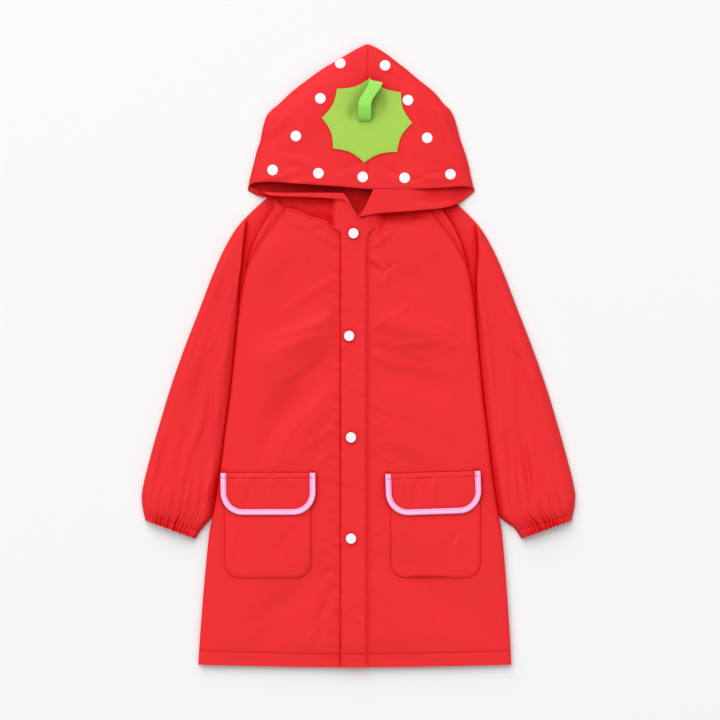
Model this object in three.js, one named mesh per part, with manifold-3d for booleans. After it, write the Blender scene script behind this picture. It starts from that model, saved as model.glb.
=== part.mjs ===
// Child's hooded raincoat of coated taffeta, laid flat on its back: front up, hood drawn forward over the
// neck. Millimetres. +X is the viewer's right (the wearer's left), +Y runs from the hem to the hood, +Z is up
// from the table. The origin is the middle of the footprint, on the table.

import * as THREE from 'three';
import Module from 'manifold-3d';
import { mergeVertices } from 'three/addons/utils/BufferGeometryUtils.js';

const wasm = await Module();
wasm.setup();

// Walls and gaps. Across a slanting seam the gap is widened by SLANT.
const CLOTH = 1.4;
const TRIM = 1.0;
const SEAM_GAP = 0.3;
const SLANT = 1.5;

// Body, as it lies
const SEAM_HEIGHT = 7.8;
const CROWN = 3.4;
const BACK_EDGE_LIFT = 4.7;
const BACK_LIFT_WIDTH = 18;
const BACK_LIFT_FLAT = 5;
const MIDLINE_HEM_X = -4.5;
const MIDLINE_NECK_X = -1;
const HEM_Y = -370.5;
const RAGLAN_TOP_Y = 177;
const BACK_NECK_Y = 182;

// Placket: the left front folded double over the right front
const PLACKET_EDGE_X = -21;
const PLACKET_STITCH_X = 9;
const PLACKET_FALL = 4;
const PLACKET_THICK = 2.2;
const UNDERLAP_X = 7.5;
const PLACKET_MIDDLE_X = -6;
const PLACKET_CALM = 16;

// Folds of the tube edges: height of the middle of the fold above the table
const SLEEVE_TIP = 2.6;
const UNDERARM_TIP = 2.2;
const HOOD_TIP = 3;
const FOLD_ROUND = 12;
const FLOOR_ROUND = 4;
const TUCK_HEIGHT = 4.4;

// Snap caps, size 20
const SNAP_RADIUS = 6.2;
const SNAP_HEIGHT = 1.9;
const SNAP_SIDES = 16;
const SNAPS = [
  { x: -6, y: 147 },
  { x: -11.2, y: 24 },
  { x: -9, y: -97.6 },
  { x: -9, y: -218.9 },
];

// Half widths of the body at its side seam, then up the raglan seam. midY is where the same row meets the
// front edge.
const BODY_ROWS = [
  { half: 188.0, y: HEM_Y, midY: -373.8 },
  { half: 186.3, y: -341, midY: -342 },
  { half: 183.3, y: -298, midY: -298 },
  { half: 179.7, y: -254, midY: -254 },
  { half: 175.5, y: -211, midY: -211 },
  { half: 169.3, y: -179, midY: -179 },
  { half: 164.6, y: -150, midY: -150 },
  { half: 161.1, y: -125, midY: -125 },
  { half: 156.9, y: -89, midY: -89 },
  { half: 152.1, y: -53, midY: -53 },
  { half: 148.3, y: -17, midY: -18 },
  { half: 144.8, y: 19, midY: 16 },
  { half: 141.0, y: 55, midY: 48 },
  { half: 138.0, y: 79, midY: 70 },
  { half: 134.5, y: 98, midY: 88 },
  { half: 130.0, y: 112, midY: 101 },
  { half: 122.5, y: 127, midY: 113 },
  { half: 112.0, y: 143, midY: 124 },
  { half: 99.5, y: 160, midY: 133 },
  { half: 87.0, y: RAGLAN_TOP_Y, midY: 141.5 },
];
const UNDERARM_ROW = 15;
const NECK_CURVE_START = 0.6;
const FRONT_COLUMNS = 12;
const PLAIN_COLUMNS = 9;

// Neck seam of each front, from the raglan seam to the front edge
const NECK_RIGHT = [
  { x: -88, y: RAGLAN_TOP_Y },
  { x: -74, y: 175.2 },
  { x: -60.6, y: 168.5 },
  { x: -37.8, y: 161.5 },
  { x: -32, y: 153.5 },
  { x: -24, y: 147.5 },
  { x: -19, y: 141.5 },
  { x: UNDERLAP_X, y: 141.5 },
];
const NECK_LEFT = [
  { x: PLACKET_EDGE_X, y: 141.5 },
  { x: 5.4, y: 142.5 },
  { x: 19.8, y: 152.4 },
  { x: 23, y: 168 },
  { x: 45, y: 176 },
  { x: 86, y: RAGLAN_TOP_Y },
];

// Large soft folds of the fronts: a ridge (or, where height is negative, a trough) from one point to another
const FRONT_FOLDS = [
  { x0: -40, y0: 40, x1: -128, y1: -25, width: 15, height: 1.3 },
  { x0: -30, y0: -20, x1: -122, y1: -105, width: 17, height: -1.2 },
  { x0: 14, y0: 112, x1: 30, y1: 92, width: 9, height: 1.2 },
  { x0: 30, y0: 92, x1: 88, y1: 128, width: 13, height: 1.0 },
  { x0: 30, y0: 38, x1: 122, y1: 12, width: 16, height: 1.2 },
  { x0: 26, y0: -22, x1: 126, y1: -40, width: 18, height: -1.1 },
  { x0: -100, y0: 85, x1: -70, y1: -5, width: 15, height: -0.9 },
];

// Sleeve, neck to cuff. Its inner end follows the raglan seam (row), is tucked under the side seam (tuck),
// then stands by itself (innerX). fold is how far across the fold that hides the armhole lies, height is the
// top of the cloth, gather how far the cuff's waves swing.
const SLEEVE_STATIONS = [
  { row: 19, outerX: 104, outerY: 195, height: 8.2, fold: 0 },
  { row: 18, outerX: 129, outerY: 172.8, height: 8.8, fold: 0 },
  { row: 17, outerX: 145.5, outerY: 155, height: 10, fold: 0.86 },
  { row: 16, outerX: 158, outerY: 135, height: 10.4, fold: 0.4 },
  { row: UNDERARM_ROW, outerX: 169, outerY: 112.5, height: 10.6, fold: 0.2 },
  { innerY: 104, tuck: -0.4, outerX: 173.5, outerY: 101.5, height: 10.6, fold: 0 },
  { innerY: 93, tuck: 4, outerX: 179, outerY: 88, height: 10.6, fold: 0 },
  { innerY: 60, tuck: 4, outerX: 190.5, outerY: 57.5, height: 10.4, fold: 0 },
  { innerY: 15, tuck: 4, outerX: 208.6, outerY: 11, height: 10, fold: 0 },
  { innerY: -30, tuck: 4, outerX: 224.5, outerY: -34, height: 10, fold: 0 },
  { innerY: -75, tuck: 4, outerX: 239.2, outerY: -82, height: 10.4, fold: 0 },
  { innerY: -116, tuck: 4, outerX: 251.5, outerY: -126, height: 11, fold: 0 },
  { innerY: -148, tuck: 4, outerX: 258, outerY: -152, height: 12, fold: 0, gather: 0.2 },
  { innerY: -174, tuck: 3, outerX: 260.6, outerY: -168, height: 12.6, fold: 0, gather: 0.55 },
  { innerY: -192, tuck: 0, outerX: 260, outerY: -179, height: 12.4, fold: 0, gather: 0.9 },
  { innerY: -207, innerX: 187, outerX: 258.4, outerY: -187.5, height: 11, fold: 0, gather: 1.1 },
  { innerY: -209.5, innerX: 189, outerX: 258, outerY: -189.5, height: 10.8, fold: 0, gather: 0.6 },
  { innerY: -219.6, innerX: 195.8, outerX: 256, outerY: -197.4, height: 11, fold: 0, gather: 1.1 },
];
const SLEEVE_COLUMNS = 12;
const VALLEY = 0.8;
const FOLD_STEP = 0.12;
const SHOULDER_RISE = 25;
const UNDERARM_RISE = 22;
const FLOOR_WAVE = 1.6;
const CUFF_SCALLOP = 0.9;
const SLEEVE_RIDGES = [
  { across: 0.36, width: 0.1, height: 0.7 },
  { across: 0.66, width: 0.09, height: -0.8 },
];

// Hood outline from the mouth to the peak, about its own leaning middle line
const HOOD_ROWS = [
  { y: 201, half: 136, middle: 0, height: 18 },
  { y: 216, half: 132.6, middle: 0, height: 17.4 },
  { y: 230.4, half: 129, middle: 0.5, height: 16.8 },
  { y: 244.8, half: 125.4, middle: 0.8, height: 16.4 },
  { y: 259.2, half: 120.6, middle: 1.2, height: 16 },
  { y: 273.6, half: 117, middle: 1.6, height: 15.6 },
  { y: 288, half: 112.6, middle: 2, height: 15.2 },
  { y: 295.2, half: 107.4, middle: 2.6, height: 14.8 },
  { y: 302.4, half: 99.6, middle: 3.2, height: 14.4 },
  { y: 316.8, half: 85.4, middle: 4.8, height: 13.4 },
  { y: 331.2, half: 67.8, middle: 5.8, height: 12 },
  { y: 345.6, half: 49.2, middle: 7, height: 10.4 },
  { y: 352.8, half: 38.4, middle: 8.4, height: 9.4 },
  { y: 360, half: 27.6, middle: 9.8, height: 8.4 },
  { y: 367.2, half: 16.2, middle: 10.6, height: 7.2 },
  { y: 373.8, half: 6, middle: 10.8, height: 6.4 },
];
const HOOD_COLUMNS = 11;
const HOOD_SHAPE = 4;

// Front edge of the crown over the mouth, left to right
const BRIM = [
  { x: -136, y: 201 },
  { x: -131, y: 204.5 },
  { x: -122, y: 208 },
  { x: -104, y: 208.6 },
  { x: -78, y: 206.8 },
  { x: -48, y: 204.8 },
  { x: -18, y: 202.8 },
  { x: 8, y: 200.4 },
  { x: 70, y: 200.6 },
  { x: 104, y: 202.2 },
  { x: 127, y: 203.8 },
  { x: 132, y: 203.4 },
  { x: 136, y: 201 },
];

// Neck edge of the hood's back layer on the table, from the middle outwards
const HOOD_BACK_EDGE = [
  { x: 0, y: BACK_NECK_Y + SEAM_GAP },
  { x: 82, y: 178.4 },
  { x: 90, y: 185 },
  { x: 104, y: 196.8 },
  { x: 112, y: 190.8 },
  { x: 121, y: 190.8 },
  { x: 128, y: 196.4 },
  { x: 136, y: 201 },
];

// Lower lip of the right hood half: the edge in the mouth, left to right, down to the throat
const LIP_RIGHT = [
  { x: -134.6, y: 206 },
  { x: -128, y: 200.5 },
  { x: -121, y: 195.8 },
  { x: -112, y: 193.6 },
  { x: -101, y: 193.4 },
  { x: -88, y: 194.6 },
  { x: -74, y: 195.4 },
  { x: -60, y: 195.6 },
  { x: -19, y: 195.2 },
  { x: -6, y: 176.6 },
  { x: 0, y: 166 },
];
// Its lower edge past the neck seam, out to the corner of the mouth
const LIP_CORNER_EDGE = [
  { x: -134.6, y: 201.4 },
  { x: -128, y: 196.5 },
  { x: -121, y: 190.5 },
  { x: -112, y: 185 },
  { x: -101, y: 180.5 },
];
const LIP_RISE = 3.4;
const LIP_RISE_START_Y = 169;
const LIP_RISE_LENGTH = 22;
const LIP_OVER_SLEEVE_Z = 10.2;
const LIP_OVER_SLEEVE_X = 86;
const LIP_CORNER_Z = 4.4;
const LIP_CORNER_X = 134;
const LIP_CORNER_RUN = 30;

// Lower lip of the left hood half: a leaf folded outwards. x, y on its fold; topX, topY on its edge in the
// mouth
const LEAF = [
  { x: 1.8, y: 166.8, topX: 21, topY: 206 },
  { x: 12, y: 169.2, topX: 32, topY: 206.5 },
  { x: 23.4, y: 171.2, topX: 42, topY: 207 },
  { x: 50, y: 173.2, topX: 62, topY: 208 },
  { x: 75, y: 175.4, topX: 82, topY: 208 },
  { x: 92, y: 176.6, topX: 98, topY: 208 },
  { x: 105, y: 178.6, topX: 110, topY: 208 },
  { x: 119.4, y: 183.8, topX: 122, topY: 207 },
  { x: 129, y: 190, topX: 130, topY: 206.5 },
  { x: 134.6, y: 201.4, topX: 134.6, topY: 206 },
];
const LEAF_TOP_Z = 14.2;
const LEAF_ROLL = 1.2;

// Throat tab of the left hood half, over the right one: carries the top snap
const TAB_TOP = [
  { x: PLACKET_EDGE_X, y: 157 },
  { x: -17, y: 163 },
  { x: -9, y: 166 },
  { x: 0, y: 170 },
  { x: 6, y: 175 },
  { x: 30, y: 180 },
];
const TAB_END_X = 26;

// Pockets and their flaps: x is the middle, top the upper edge
const POCKET_HEIGHT = 89;
const POCKET_RADIUS = 18;
const POCKET_TOP_Y = -176.6;
const POCKETS = [
  { name: 'pocket_right', x: -108.9, top: POCKET_TOP_Y, width: 102.6, tilt: 0 },
  { name: 'pocket_left', x: 92.4, top: POCKET_TOP_Y, width: 106.8, tilt: 0 },
];
const FLAP_HEIGHT = 50.4;
const FLAP_RADIUS = 27;
const FLAPS = [
  { side: 'right', x: -108.6, top: -140.2, width: 114.2, tilt: 0.2 },
  { side: 'left', x: 89.2, top: -139.6, width: 114.6, tilt: 1.9 },
];
const BINDING_WIDTH = 7;

// Leaf-shaped applique on the crown, eight points joined by hollow arcs, and the strap loop at its middle
const CALYX = { x: 8.4, y: 283.2, radiusX: 54.6, radiusY: 50.6, points: 8, turn: 0.06, hollow: 0.16 };
const CALYX_RINGS = 3;
const CALYX_STEPS = 48;
const STALK_WIDTH = 16;
const STALK_LEAN = 13;
const STALK_PATH = [
  { y: 281.5, z: 0.6 },
  { y: 285, z: 3.2 },
  { y: 293, z: 6.2 },
  { y: 303, z: 8.4 },
  { y: 312, z: 9.4 },
  { y: 322, z: 9.8 },
  { y: 330, z: 9.4 },
  { y: 332.6, z: 7.8 },
  { y: 331, z: 6.0 },
  { y: 322, z: 5.6 },
  { y: 310, z: 4.8 },
  { y: 300, z: 2.8 },
  { y: 293, z: 0.6 },
];
const STALK_LEAN_START_Y = 300;
const STALK_LEAN_END_Y = 332;

const COLOURS = {
  red: 0xee2b34,
  pink: 0xf79ae0,
  green: 0xa8d44c,
  strap: 0x8fdc50,
  white: 0xf6f6f8,
};

// Small tools

const lerp = (a, b, t) => a + (b - a) * t;
const clamp01 = (t) => Math.min(1, Math.max(0, t));

function smooth(t) {
  const c = clamp01(t);
  return c * c * (3 - 2 * c);
}

// Height of a quarter round as its edge is left behind: 0 at the edge, 1 once past the radius
function quarterRound(distance, radius) {
  const left = 1 - clamp01(distance / radius);
  return Math.sqrt(1 - left * left);
}

// Value of one column of a table at a place along another column, which rises
function lookUp(table, key, at, column) {
  if (at <= table[0][key]) return table[0][column];
  for (let i = 1; i < table.length; i += 1) {
    const low = table[i - 1];
    const high = table[i];
    if (at <= high[key]) return lerp(low[column], high[column], (at - low[key]) / (high[key] - low[key]));
  }
  return table[table.length - 1][column];
}

function distanceToSegment(x, y, fold) {
  const dx = fold.x1 - fold.x0;
  const dy = fold.y1 - fold.y0;
  const along = clamp01(((x - fold.x0) * dx + (y - fold.y0) * dy) / (dx * dx + dy * dy));
  return Math.hypot(x - fold.x0 - along * dx, y - fold.y0 - along * dy);
}

// Heights

const midlineX = (y) => lerp(MIDLINE_HEM_X, MIDLINE_NECK_X, clamp01((y - HEM_Y) / (RAGLAN_TOP_Y - HEM_Y)));
const halfWidth = (y) => lookUp(BODY_ROWS, 'y', y, 'half');

// Top of the single cloth of the fronts
function frontTop(x, y) {
  const across = clamp01(Math.abs(x - midlineX(y)) / halfWidth(y));
  let folds = 0;
  for (const fold of FRONT_FOLDS) {
    folds += fold.height * Math.exp(-((distanceToSegment(x, y, fold) / fold.width) ** 2));
  }
  const offPlacket = smooth((Math.abs(x - PLACKET_MIDDLE_X) - PLACKET_CALM) / PLACKET_CALM);
  return SEAM_HEIGHT + CROWN * (1 - across ** 3) + folds * (1 - across ** 6) * offPlacket;
}

// Height of the hood's outer surface over a point of the crown
function crownTop(x, y) {
  const half = lookUp(HOOD_ROWS, 'y', y, 'half');
  const middle = lookUp(HOOD_ROWS, 'y', y, 'middle');
  const height = lookUp(HOOD_ROWS, 'y', y, 'height');
  const across = clamp01(Math.abs(x - middle) / half);
  return HOOD_TIP + (height - HOOD_TIP) * Math.sqrt(1 - across ** HOOD_SHAPE);
}

// Geometry of a wall: rows of points on its outer face and as many on its inner face

// Triangles between two rows of point numbers, the second as fine as the first or twice as fine
function bandFaces(a, b, faces) {
  const twice = b.length > a.length;
  for (let j = 0; j + 1 < a.length; j += 1) {
    if (twice) {
      faces.push([a[j], b[2 * j + 1], b[2 * j]]);
      faces.push([a[j], a[j + 1], b[2 * j + 1]]);
      faces.push([a[j + 1], b[2 * j + 2], b[2 * j + 1]]);
    } else {
      faces.push([a[j], a[j + 1], b[j + 1]], [a[j], b[j + 1], b[j]]);
    }
  }
}

const turned = (faces) => faces.map(([a, b, c]) => [a, c, b]);

function volumeOf(points, faces) {
  let six = 0;
  for (const [a, b, c] of faces) {
    const [p, q, r] = [points[a], points[b], points[c]].map((point) => new THREE.Vector3(...point));
    six += p.dot(q.cross(r));
  }
  return six / 6;
}

function closedGeometry(points, faces) {
  const outward = volumeOf(points, faces) > 0 ? faces : turned(faces);
  const geometry = new THREE.BufferGeometry();
  geometry.setAttribute('position', new THREE.Float32BufferAttribute(points.flat(), 3));
  geometry.setIndex(outward.flat());
  return geometry;
}

function wall(outer, inner) {
  const points = [];
  const number = (row) => row.map((p) => points.push(p) - 1);
  const out = outer.map(number);
  const inn = inner.map(number);
  const outerFaces = [];
  const innerFaces = [];
  for (let k = 0; k + 1 < out.length; k += 1) {
    bandFaces(out[k], out[k + 1], outerFaces);
    bandFaces(inn[k], inn[k + 1], innerFaces);
  }
  const edge = [];
  const first = (rows) => rows.map((row) => row[0]);
  const last = (rows) => rows.map((row) => row[row.length - 1]);
  bandFaces(inn[0], out[0], edge);
  bandFaces(out[out.length - 1], inn[inn.length - 1], edge);
  bandFaces(first(out), first(inn), edge);
  bandFaces(last(inn), last(out), edge);
  return closedGeometry(points, [...outerFaces, ...turned(innerFaces), ...edge]);
}

// A wall of even thickness below a sheet of points
function sheet(rows, thickness) {
  return wall(rows, rows.map((row) => row.map(([x, y, z]) => [x, y, z - thickness])));
}

// Joins closed geometries into one solid
function joined(...geometries) {
  let solid = null;
  for (const geometry of geometries) {
    const clean = mergeVertices(geometry, 1e-4);
    const part = new wasm.Manifold(
      new wasm.Mesh({
        numProp: 3,
        vertProperties: new Float32Array(clean.attributes.position.array),
        triVerts: new Uint32Array(clean.index.array),
      }),
    );
    solid = solid ? solid.add(part) : part;
  }
  const mesh = solid.getMesh();
  const geometry = new THREE.BufferGeometry();
  geometry.setAttribute('position', new THREE.Float32BufferAttribute(mesh.vertProperties, 3));
  geometry.setIndex([...mesh.triVerts]);
  return geometry;
}

// Body

function bodyEdge(side, row) {
  return [midlineX(row.y) + side * row.half, row.y];
}

// Points of one front: rows from the hem to the neck seam, columns from the side (share 0) to the front edge
function frontGrid(side, shares, frontX, neck) {
  const hem = BODY_ROWS[0];
  const top = BODY_ROWS[BODY_ROWS.length - 1];
  return BODY_ROWS.map((row, k) => {
    const rise = k / (BODY_ROWS.length - 1);
    const [sideX, sideY] = bodyEdge(side, row);
    const [topX] = bodyEdge(side, top);
    return shares.map((share) => {
      const x = lerp(sideX, frontX, share);
      const straight = lerp(sideY, row.midY, share);
      const neckX = lerp(topX, frontX, share);
      const bulge = lookUp(neck, 'x', neckX, 'y') - lerp(top.y, top.midY, share);
      const nearNeck = smooth((rise - NECK_CURVE_START) / (1 - NECK_CURVE_START));
      const hemDrop = k === 0 ? (hem.midY - hem.y) * (Math.sin((share * Math.PI) / 2) - share) : 0;
      return [x, straight + bulge * nearNeck + hemDrop];
    });
  });
}

const even = (count) => Array.from({ length: count + 1 }, (_, i) => i / count);

const frontRightGrid = () => frontGrid(-1, even(FRONT_COLUMNS), UNDERLAP_X, NECK_RIGHT);

function frontRight() {
  return sheet(frontRightGrid().map((row) => row.map(([x, y]) => [x, y, frontTop(x, y)])), CLOTH);
}

// The placket's columns come first, then the single cloth to the side
function frontLeftGrid() {
  const band = PLACKET_STITCH_X - PLACKET_EDGE_X;
  return BODY_ROWS.map((row, k) => {
    const full = midlineX(row.y) + row.half - PLACKET_EDGE_X;
    const shares = [0, band / 2, band, band + PLACKET_FALL].map((d) => 1 - d / full);
    const last = shares[shares.length - 1];
    for (let i = 1; i <= PLAIN_COLUMNS; i += 1) shares.push(last * (1 - i / PLAIN_COLUMNS));
    return frontGrid(1, shares, PLACKET_EDGE_X, NECK_LEFT)[k];
  });
}

function frontLeft() {
  const onPlacket = (x) => x <= PLACKET_STITCH_X + SEAM_GAP;
  const top = ([x, y]) => [x, y, frontTop(x, y) + (onPlacket(x) ? SEAM_GAP + PLACKET_THICK : 0)];
  const under = ([x, y]) => [x, y, frontTop(x, y) + (onPlacket(x) ? SEAM_GAP : -CLOTH)];
  const grid = frontLeftGrid();
  return wall(grid.map((row) => row.map(top)), grid.map((row) => row.map(under)));
}

// The back lies on the table and lifts at the sides, where the sleeves pass under it
function back() {
  const edgeSteps = [0, BACK_LIFT_FLAT, (BACK_LIFT_FLAT + BACK_LIFT_WIDTH) / 2, BACK_LIFT_WIDTH];
  const rows = BODY_ROWS.map((row, k) => {
    const middle = midlineX(row.y);
    const flatHalf = row.half - BACK_LIFT_WIDTH;
    const offsets = edgeSteps.map((step) => row.half - step);
    const xs = [...offsets.map((x) => -x), -flatHalf / 2, 0, flatHalf / 2, ...offsets.reverse()];
    const belowArms = k <= UNDERARM_ROW;
    const neckRow = k === BODY_ROWS.length - 1;
    const midY = neckRow ? BACK_NECK_Y : lerp(row.y, row.midY, belowArms ? 1 : 0);
    return xs.map((x) => {
      const inside = row.half - Math.abs(x);
      const lift = 1 - smooth((inside - BACK_LIFT_FLAT) / (BACK_LIFT_WIDTH - BACK_LIFT_FLAT));
      const raised = belowArms ? BACK_EDGE_LIFT * lift : 0;
      return [middle + x, lerp(midY, row.y, Math.abs(x) / row.half), raised + CLOTH];
    });
  });
  return sheet(rows, CLOTH);
}

// Sleeves

function sleeveEnds(station, side) {
  const outer = [side * station.outerX, station.outerY];
  if (station.row !== undefined) {
    const [x, y] = bodyEdge(side, BODY_ROWS[station.row]);
    return [[x + side * SEAM_GAP * SLANT, y + SEAM_GAP], outer];
  }
  const edge = midlineX(station.innerY) + side * (halfWidth(station.innerY) - (station.tuck ?? 0));
  return [[station.innerX ? side * station.innerX : edge, station.innerY], outer];
}

// Top of the sleeve's cloth over a point some way across the section
function sleeveTop(station, across, width) {
  const open = station.row !== undefined;
  const fromInner = across * width;
  const fromOuter = (1 - across) * width;
  let z;
  if (open) {
    const folded = station.fold > 0;
    const valley = folded && across < station.fold;
    const dip = valley ? VALLEY * Math.sin((Math.PI / 2) * (across / station.fold)) : 0;
    const past = folded ? smooth((across - station.fold) / FOLD_STEP) : smooth(fromInner / SHOULDER_RISE);
    z = lerp(SEAM_HEIGHT - dip, station.height, past);
  } else {
    const lip = UNDERARM_TIP + SEAM_GAP / 2;
    const tucked = lip + (TUCK_HEIGHT - lip) * quarterRound(fromInner, FLOOR_ROUND);
    z = lerp(tucked, station.height, smooth((fromInner - FLOOR_ROUND - 1) / UNDERARM_RISE));
  }
  for (const ridge of open ? [] : SLEEVE_RIDGES) {
    z += ridge.height * Math.exp(-(((across - ridge.across) / ridge.width) ** 2));
  }
  return lerp(SLEEVE_TIP, z, quarterRound(fromOuter, Math.min(FOLD_ROUND, width / 3)));
}

function sleeveFloor(station, across, width) {
  const outerCurl = SLEEVE_TIP * (1 - quarterRound((1 - across) * width, FLOOR_ROUND));
  const innerCurl = (UNDERARM_TIP - SEAM_GAP / 2) * (1 - quarterRound(across * width, FLOOR_ROUND));
  return outerCurl + (station.row === undefined ? innerCurl : 0);
}

// One section of the sleeve: up its top from the inner end to the outer fold and back along the table
function sleeveSection(station, side) {
  const [from, to] = sleeveEnds(station, side);
  const width = Math.hypot(to[0] - from[0], to[1] - from[1]);
  const columns = station.gather ? SLEEVE_COLUMNS * 2 : SLEEVE_COLUMNS;
  const path = [];
  for (let i = 0; i <= columns * 2; i += 1) {
    const onTop = i <= columns;
    const step = onTop ? i : columns * 2 - i;
    const across = 0.5 - 0.5 * Math.cos((Math.PI * step) / columns);
    const z = onTop ? sleeveTop(station, across, width) : sleeveFloor(station, across, width);
    const gather = station.gather ?? 0;
    const wave = gather * Math.sqrt(Math.sin(Math.PI * across)) * (step % 2 ? 1 : -1);
    const floorWave = wave > 0 ? gather * FLOOR_WAVE : 0;
    path.push({ s: across * width, z, lift: onTop ? wave : floorWave, wave });
  }
  const last = station === SLEEVE_STATIONS[SLEEVE_STATIONS.length - 1];
  const place = (s, z, wave) => {
    const slide = last ? CUFF_SCALLOP * Math.sign(wave) : 0;
    return [lerp(from[0], to[0], s / width), lerp(from[1], to[1], s / width) + slide, z];
  };
  const outer = path.map((p) => place(p.s, p.z + p.lift, p.wave));
  const inner = path.map((p, i) => {
    const before = path[Math.max(0, i - 1)];
    const after = path[Math.min(path.length - 1, i + 1)];
    const run = Math.hypot(after.s - before.s, after.z - before.z);
    const s = p.s + (CLOTH * (after.z - before.z)) / run;
    const z = p.z - (CLOTH * (after.s - before.s)) / run;
    return place(s, z + p.lift, p.wave);
  });
  return { outer, inner };
}

function sleeve(side) {
  const sections = SLEEVE_STATIONS.map((station) => sleeveSection(station, side));
  return wall(sections.map((s) => s.outer), sections.map((s) => s.inner));
}

// Hood

// One side's crown, outer fold and back layer, as a wall open at the middle seam
function hoodShell(side) {
  const outer = [];
  const inner = [];
  HOOD_ROWS.forEach((row, k) => {
    const outRow = [];
    const inRow = [];
    for (let i = 0; i <= HOOD_COLUMNS * 2; i += 1) {
      const onTop = i <= HOOD_COLUMNS;
      const step = onTop ? i : HOOD_COLUMNS * 2 - i;
      const across = Math.sin((Math.PI * step) / (HOOD_COLUMNS * 2));
      const reach = SEAM_GAP / 2 + (row.half - SEAM_GAP / 2) * across;
      const innerReach = SEAM_GAP / 2 + (row.half - CLOTH - SEAM_GAP / 2) * across;
      const crown = Math.sqrt(1 - across ** HOOD_SHAPE);
      const curl = quarterRound((1 - across) * row.half, FLOOR_ROUND);
      const z = onTop ? HOOD_TIP + (row.height - HOOD_TIP) * crown : HOOD_TIP * (1 - curl);
      const innerCrown = HOOD_TIP + (row.height - CLOTH - HOOD_TIP) * crown;
      const innerZ = onTop ? innerCrown : HOOD_TIP - (HOOD_TIP - CLOTH) * curl;
      const x = row.middle + side * reach;
      const edgeY = onTop ? lookUp(BRIM, 'x', x, 'y') : lookUp(HOOD_BACK_EDGE, 'x', Math.abs(x), 'y');
      const y = k === 0 ? edgeY : row.y;
      outRow.push([x, y, z]);
      inRow.push([row.middle + side * innerReach, y, innerZ]);
    }
    outer.push(outRow);
    inner.push(inRow);
  });
  return wall(outer, inner);
}

// Top of the lower lip: rises from the neck seam to the mouth and comes down to the hood's fold at the corner
function lipTop(x, y, full) {
  const corner = smooth((LIP_CORNER_X - Math.abs(x)) / LIP_CORNER_RUN);
  return lerp(LIP_CORNER_Z, full, corner);
}

// Points of a front's neck seam, one for each column of its cloth
const neckPoints = (grid) => grid[grid.length - 1].map(([x, y]) => ({ x, y }));

function lipRight() {
  const shares = [0, 0.35, 0.7, 1];
  const seam = neckPoints(frontRightGrid()).filter((point) => point.x < 0);
  const rows = [...LIP_CORNER_EDGE, ...seam].map((edge) =>
    shares.map((share) => {
      const y = lerp(edge.y + SEAM_GAP, lookUp(LIP_RIGHT, 'x', edge.x, 'y'), share);
      const rise = LIP_RISE * smooth((y - LIP_RISE_START_Y) / LIP_RISE_LENGTH);
      const overSleeve = smooth((Math.abs(edge.x) - LIP_OVER_SLEEVE_X + LIP_RISE_LENGTH) / LIP_RISE_LENGTH);
      const lifted = Math.max(frontTop(edge.x, edge.y) + rise, LIP_OVER_SLEEVE_Z * overSleeve);
      return [edge.x, y, lipTop(edge.x, y, lifted)];
    }),
  );
  return sheet(rows, CLOTH);
}

function leafLeft() {
  const shares = [0, 0.08, 0.3, 0.65, 1];
  const rows = LEAF.map((column) =>
    shares.map((share) => {
      const x = lerp(column.x, column.topX, share);
      const y = lerp(column.y, column.topY, share);
      const roll = share === 0 ? LEAF_ROLL : 0;
      const underBrim = crownTop(x, HOOD_ROWS[0].y) - CLOTH - SEAM_GAP * 2;
      return [x, y, Math.min(lipTop(x, y, LEAF_TOP_Z) - roll, underBrim)];
    }),
  );
  return sheet(rows, CLOTH);
}

function throatTab() {
  const shares = [0, 0.5, 1];
  const seam = neckPoints(frontLeftGrid()).filter((point) => point.x < TAB_END_X);
  const rows = seam.map((edge) =>
    shares.map((share) => {
      const y = lerp(edge.y + SEAM_GAP, lookUp(TAB_TOP, 'x', edge.x, 'y'), share);
      return [edge.x, y, frontTop(edge.x, edge.y) + SEAM_GAP + PLACKET_THICK];
    }),
  );
  return sheet(rows, PLACKET_THICK);
}

// Pockets, flaps and the tape round the flaps

// Turns a place in a patch (from the middle of its top edge, downwards) to a place on the coat
function onCoat(patch, dx, dy) {
  const turn = THREE.MathUtils.degToRad(patch.tilt);
  const x = patch.x + dx * Math.cos(turn) + dy * Math.sin(turn);
  return [x, patch.top + dx * Math.sin(turn) - dy * Math.cos(turn)];
}

// A patch with round lower corners, lying a lift above the front
function roundedPatch(patch, height, radius, inset, lift) {
  const straight = height - radius;
  const downs = [0, straight / 3, (2 * straight) / 3, straight];
  const arcSteps = 5;
  const quarter = (i) => Math.sin((Math.PI / 2) * (i / arcSteps));
  for (let i = 1; i <= arcSteps; i += 1) downs.push(straight + radius * quarter(i));
  const rows = downs.map((down) => {
    const past = Math.max(0, down - straight);
    const half = patch.width / 2 - radius + Math.sqrt(Math.max(0, radius * radius - past * past)) - inset;
    const bottom = down - (inset * down) / height;
    return even(6).map((share) => {
      const [x, y] = onCoat(patch, lerp(-half, half, share), bottom);
      return [x, y, frontTop(x, y) + lift + TRIM];
    });
  });
  return sheet(rows, TRIM);
}

const POCKET_LIFT = SEAM_GAP;
const FLAP_LIFT = POCKET_LIFT + TRIM + SEAM_GAP;
const TAPE_LIFT = FLAP_LIFT + TRIM + SEAM_GAP;

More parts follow.
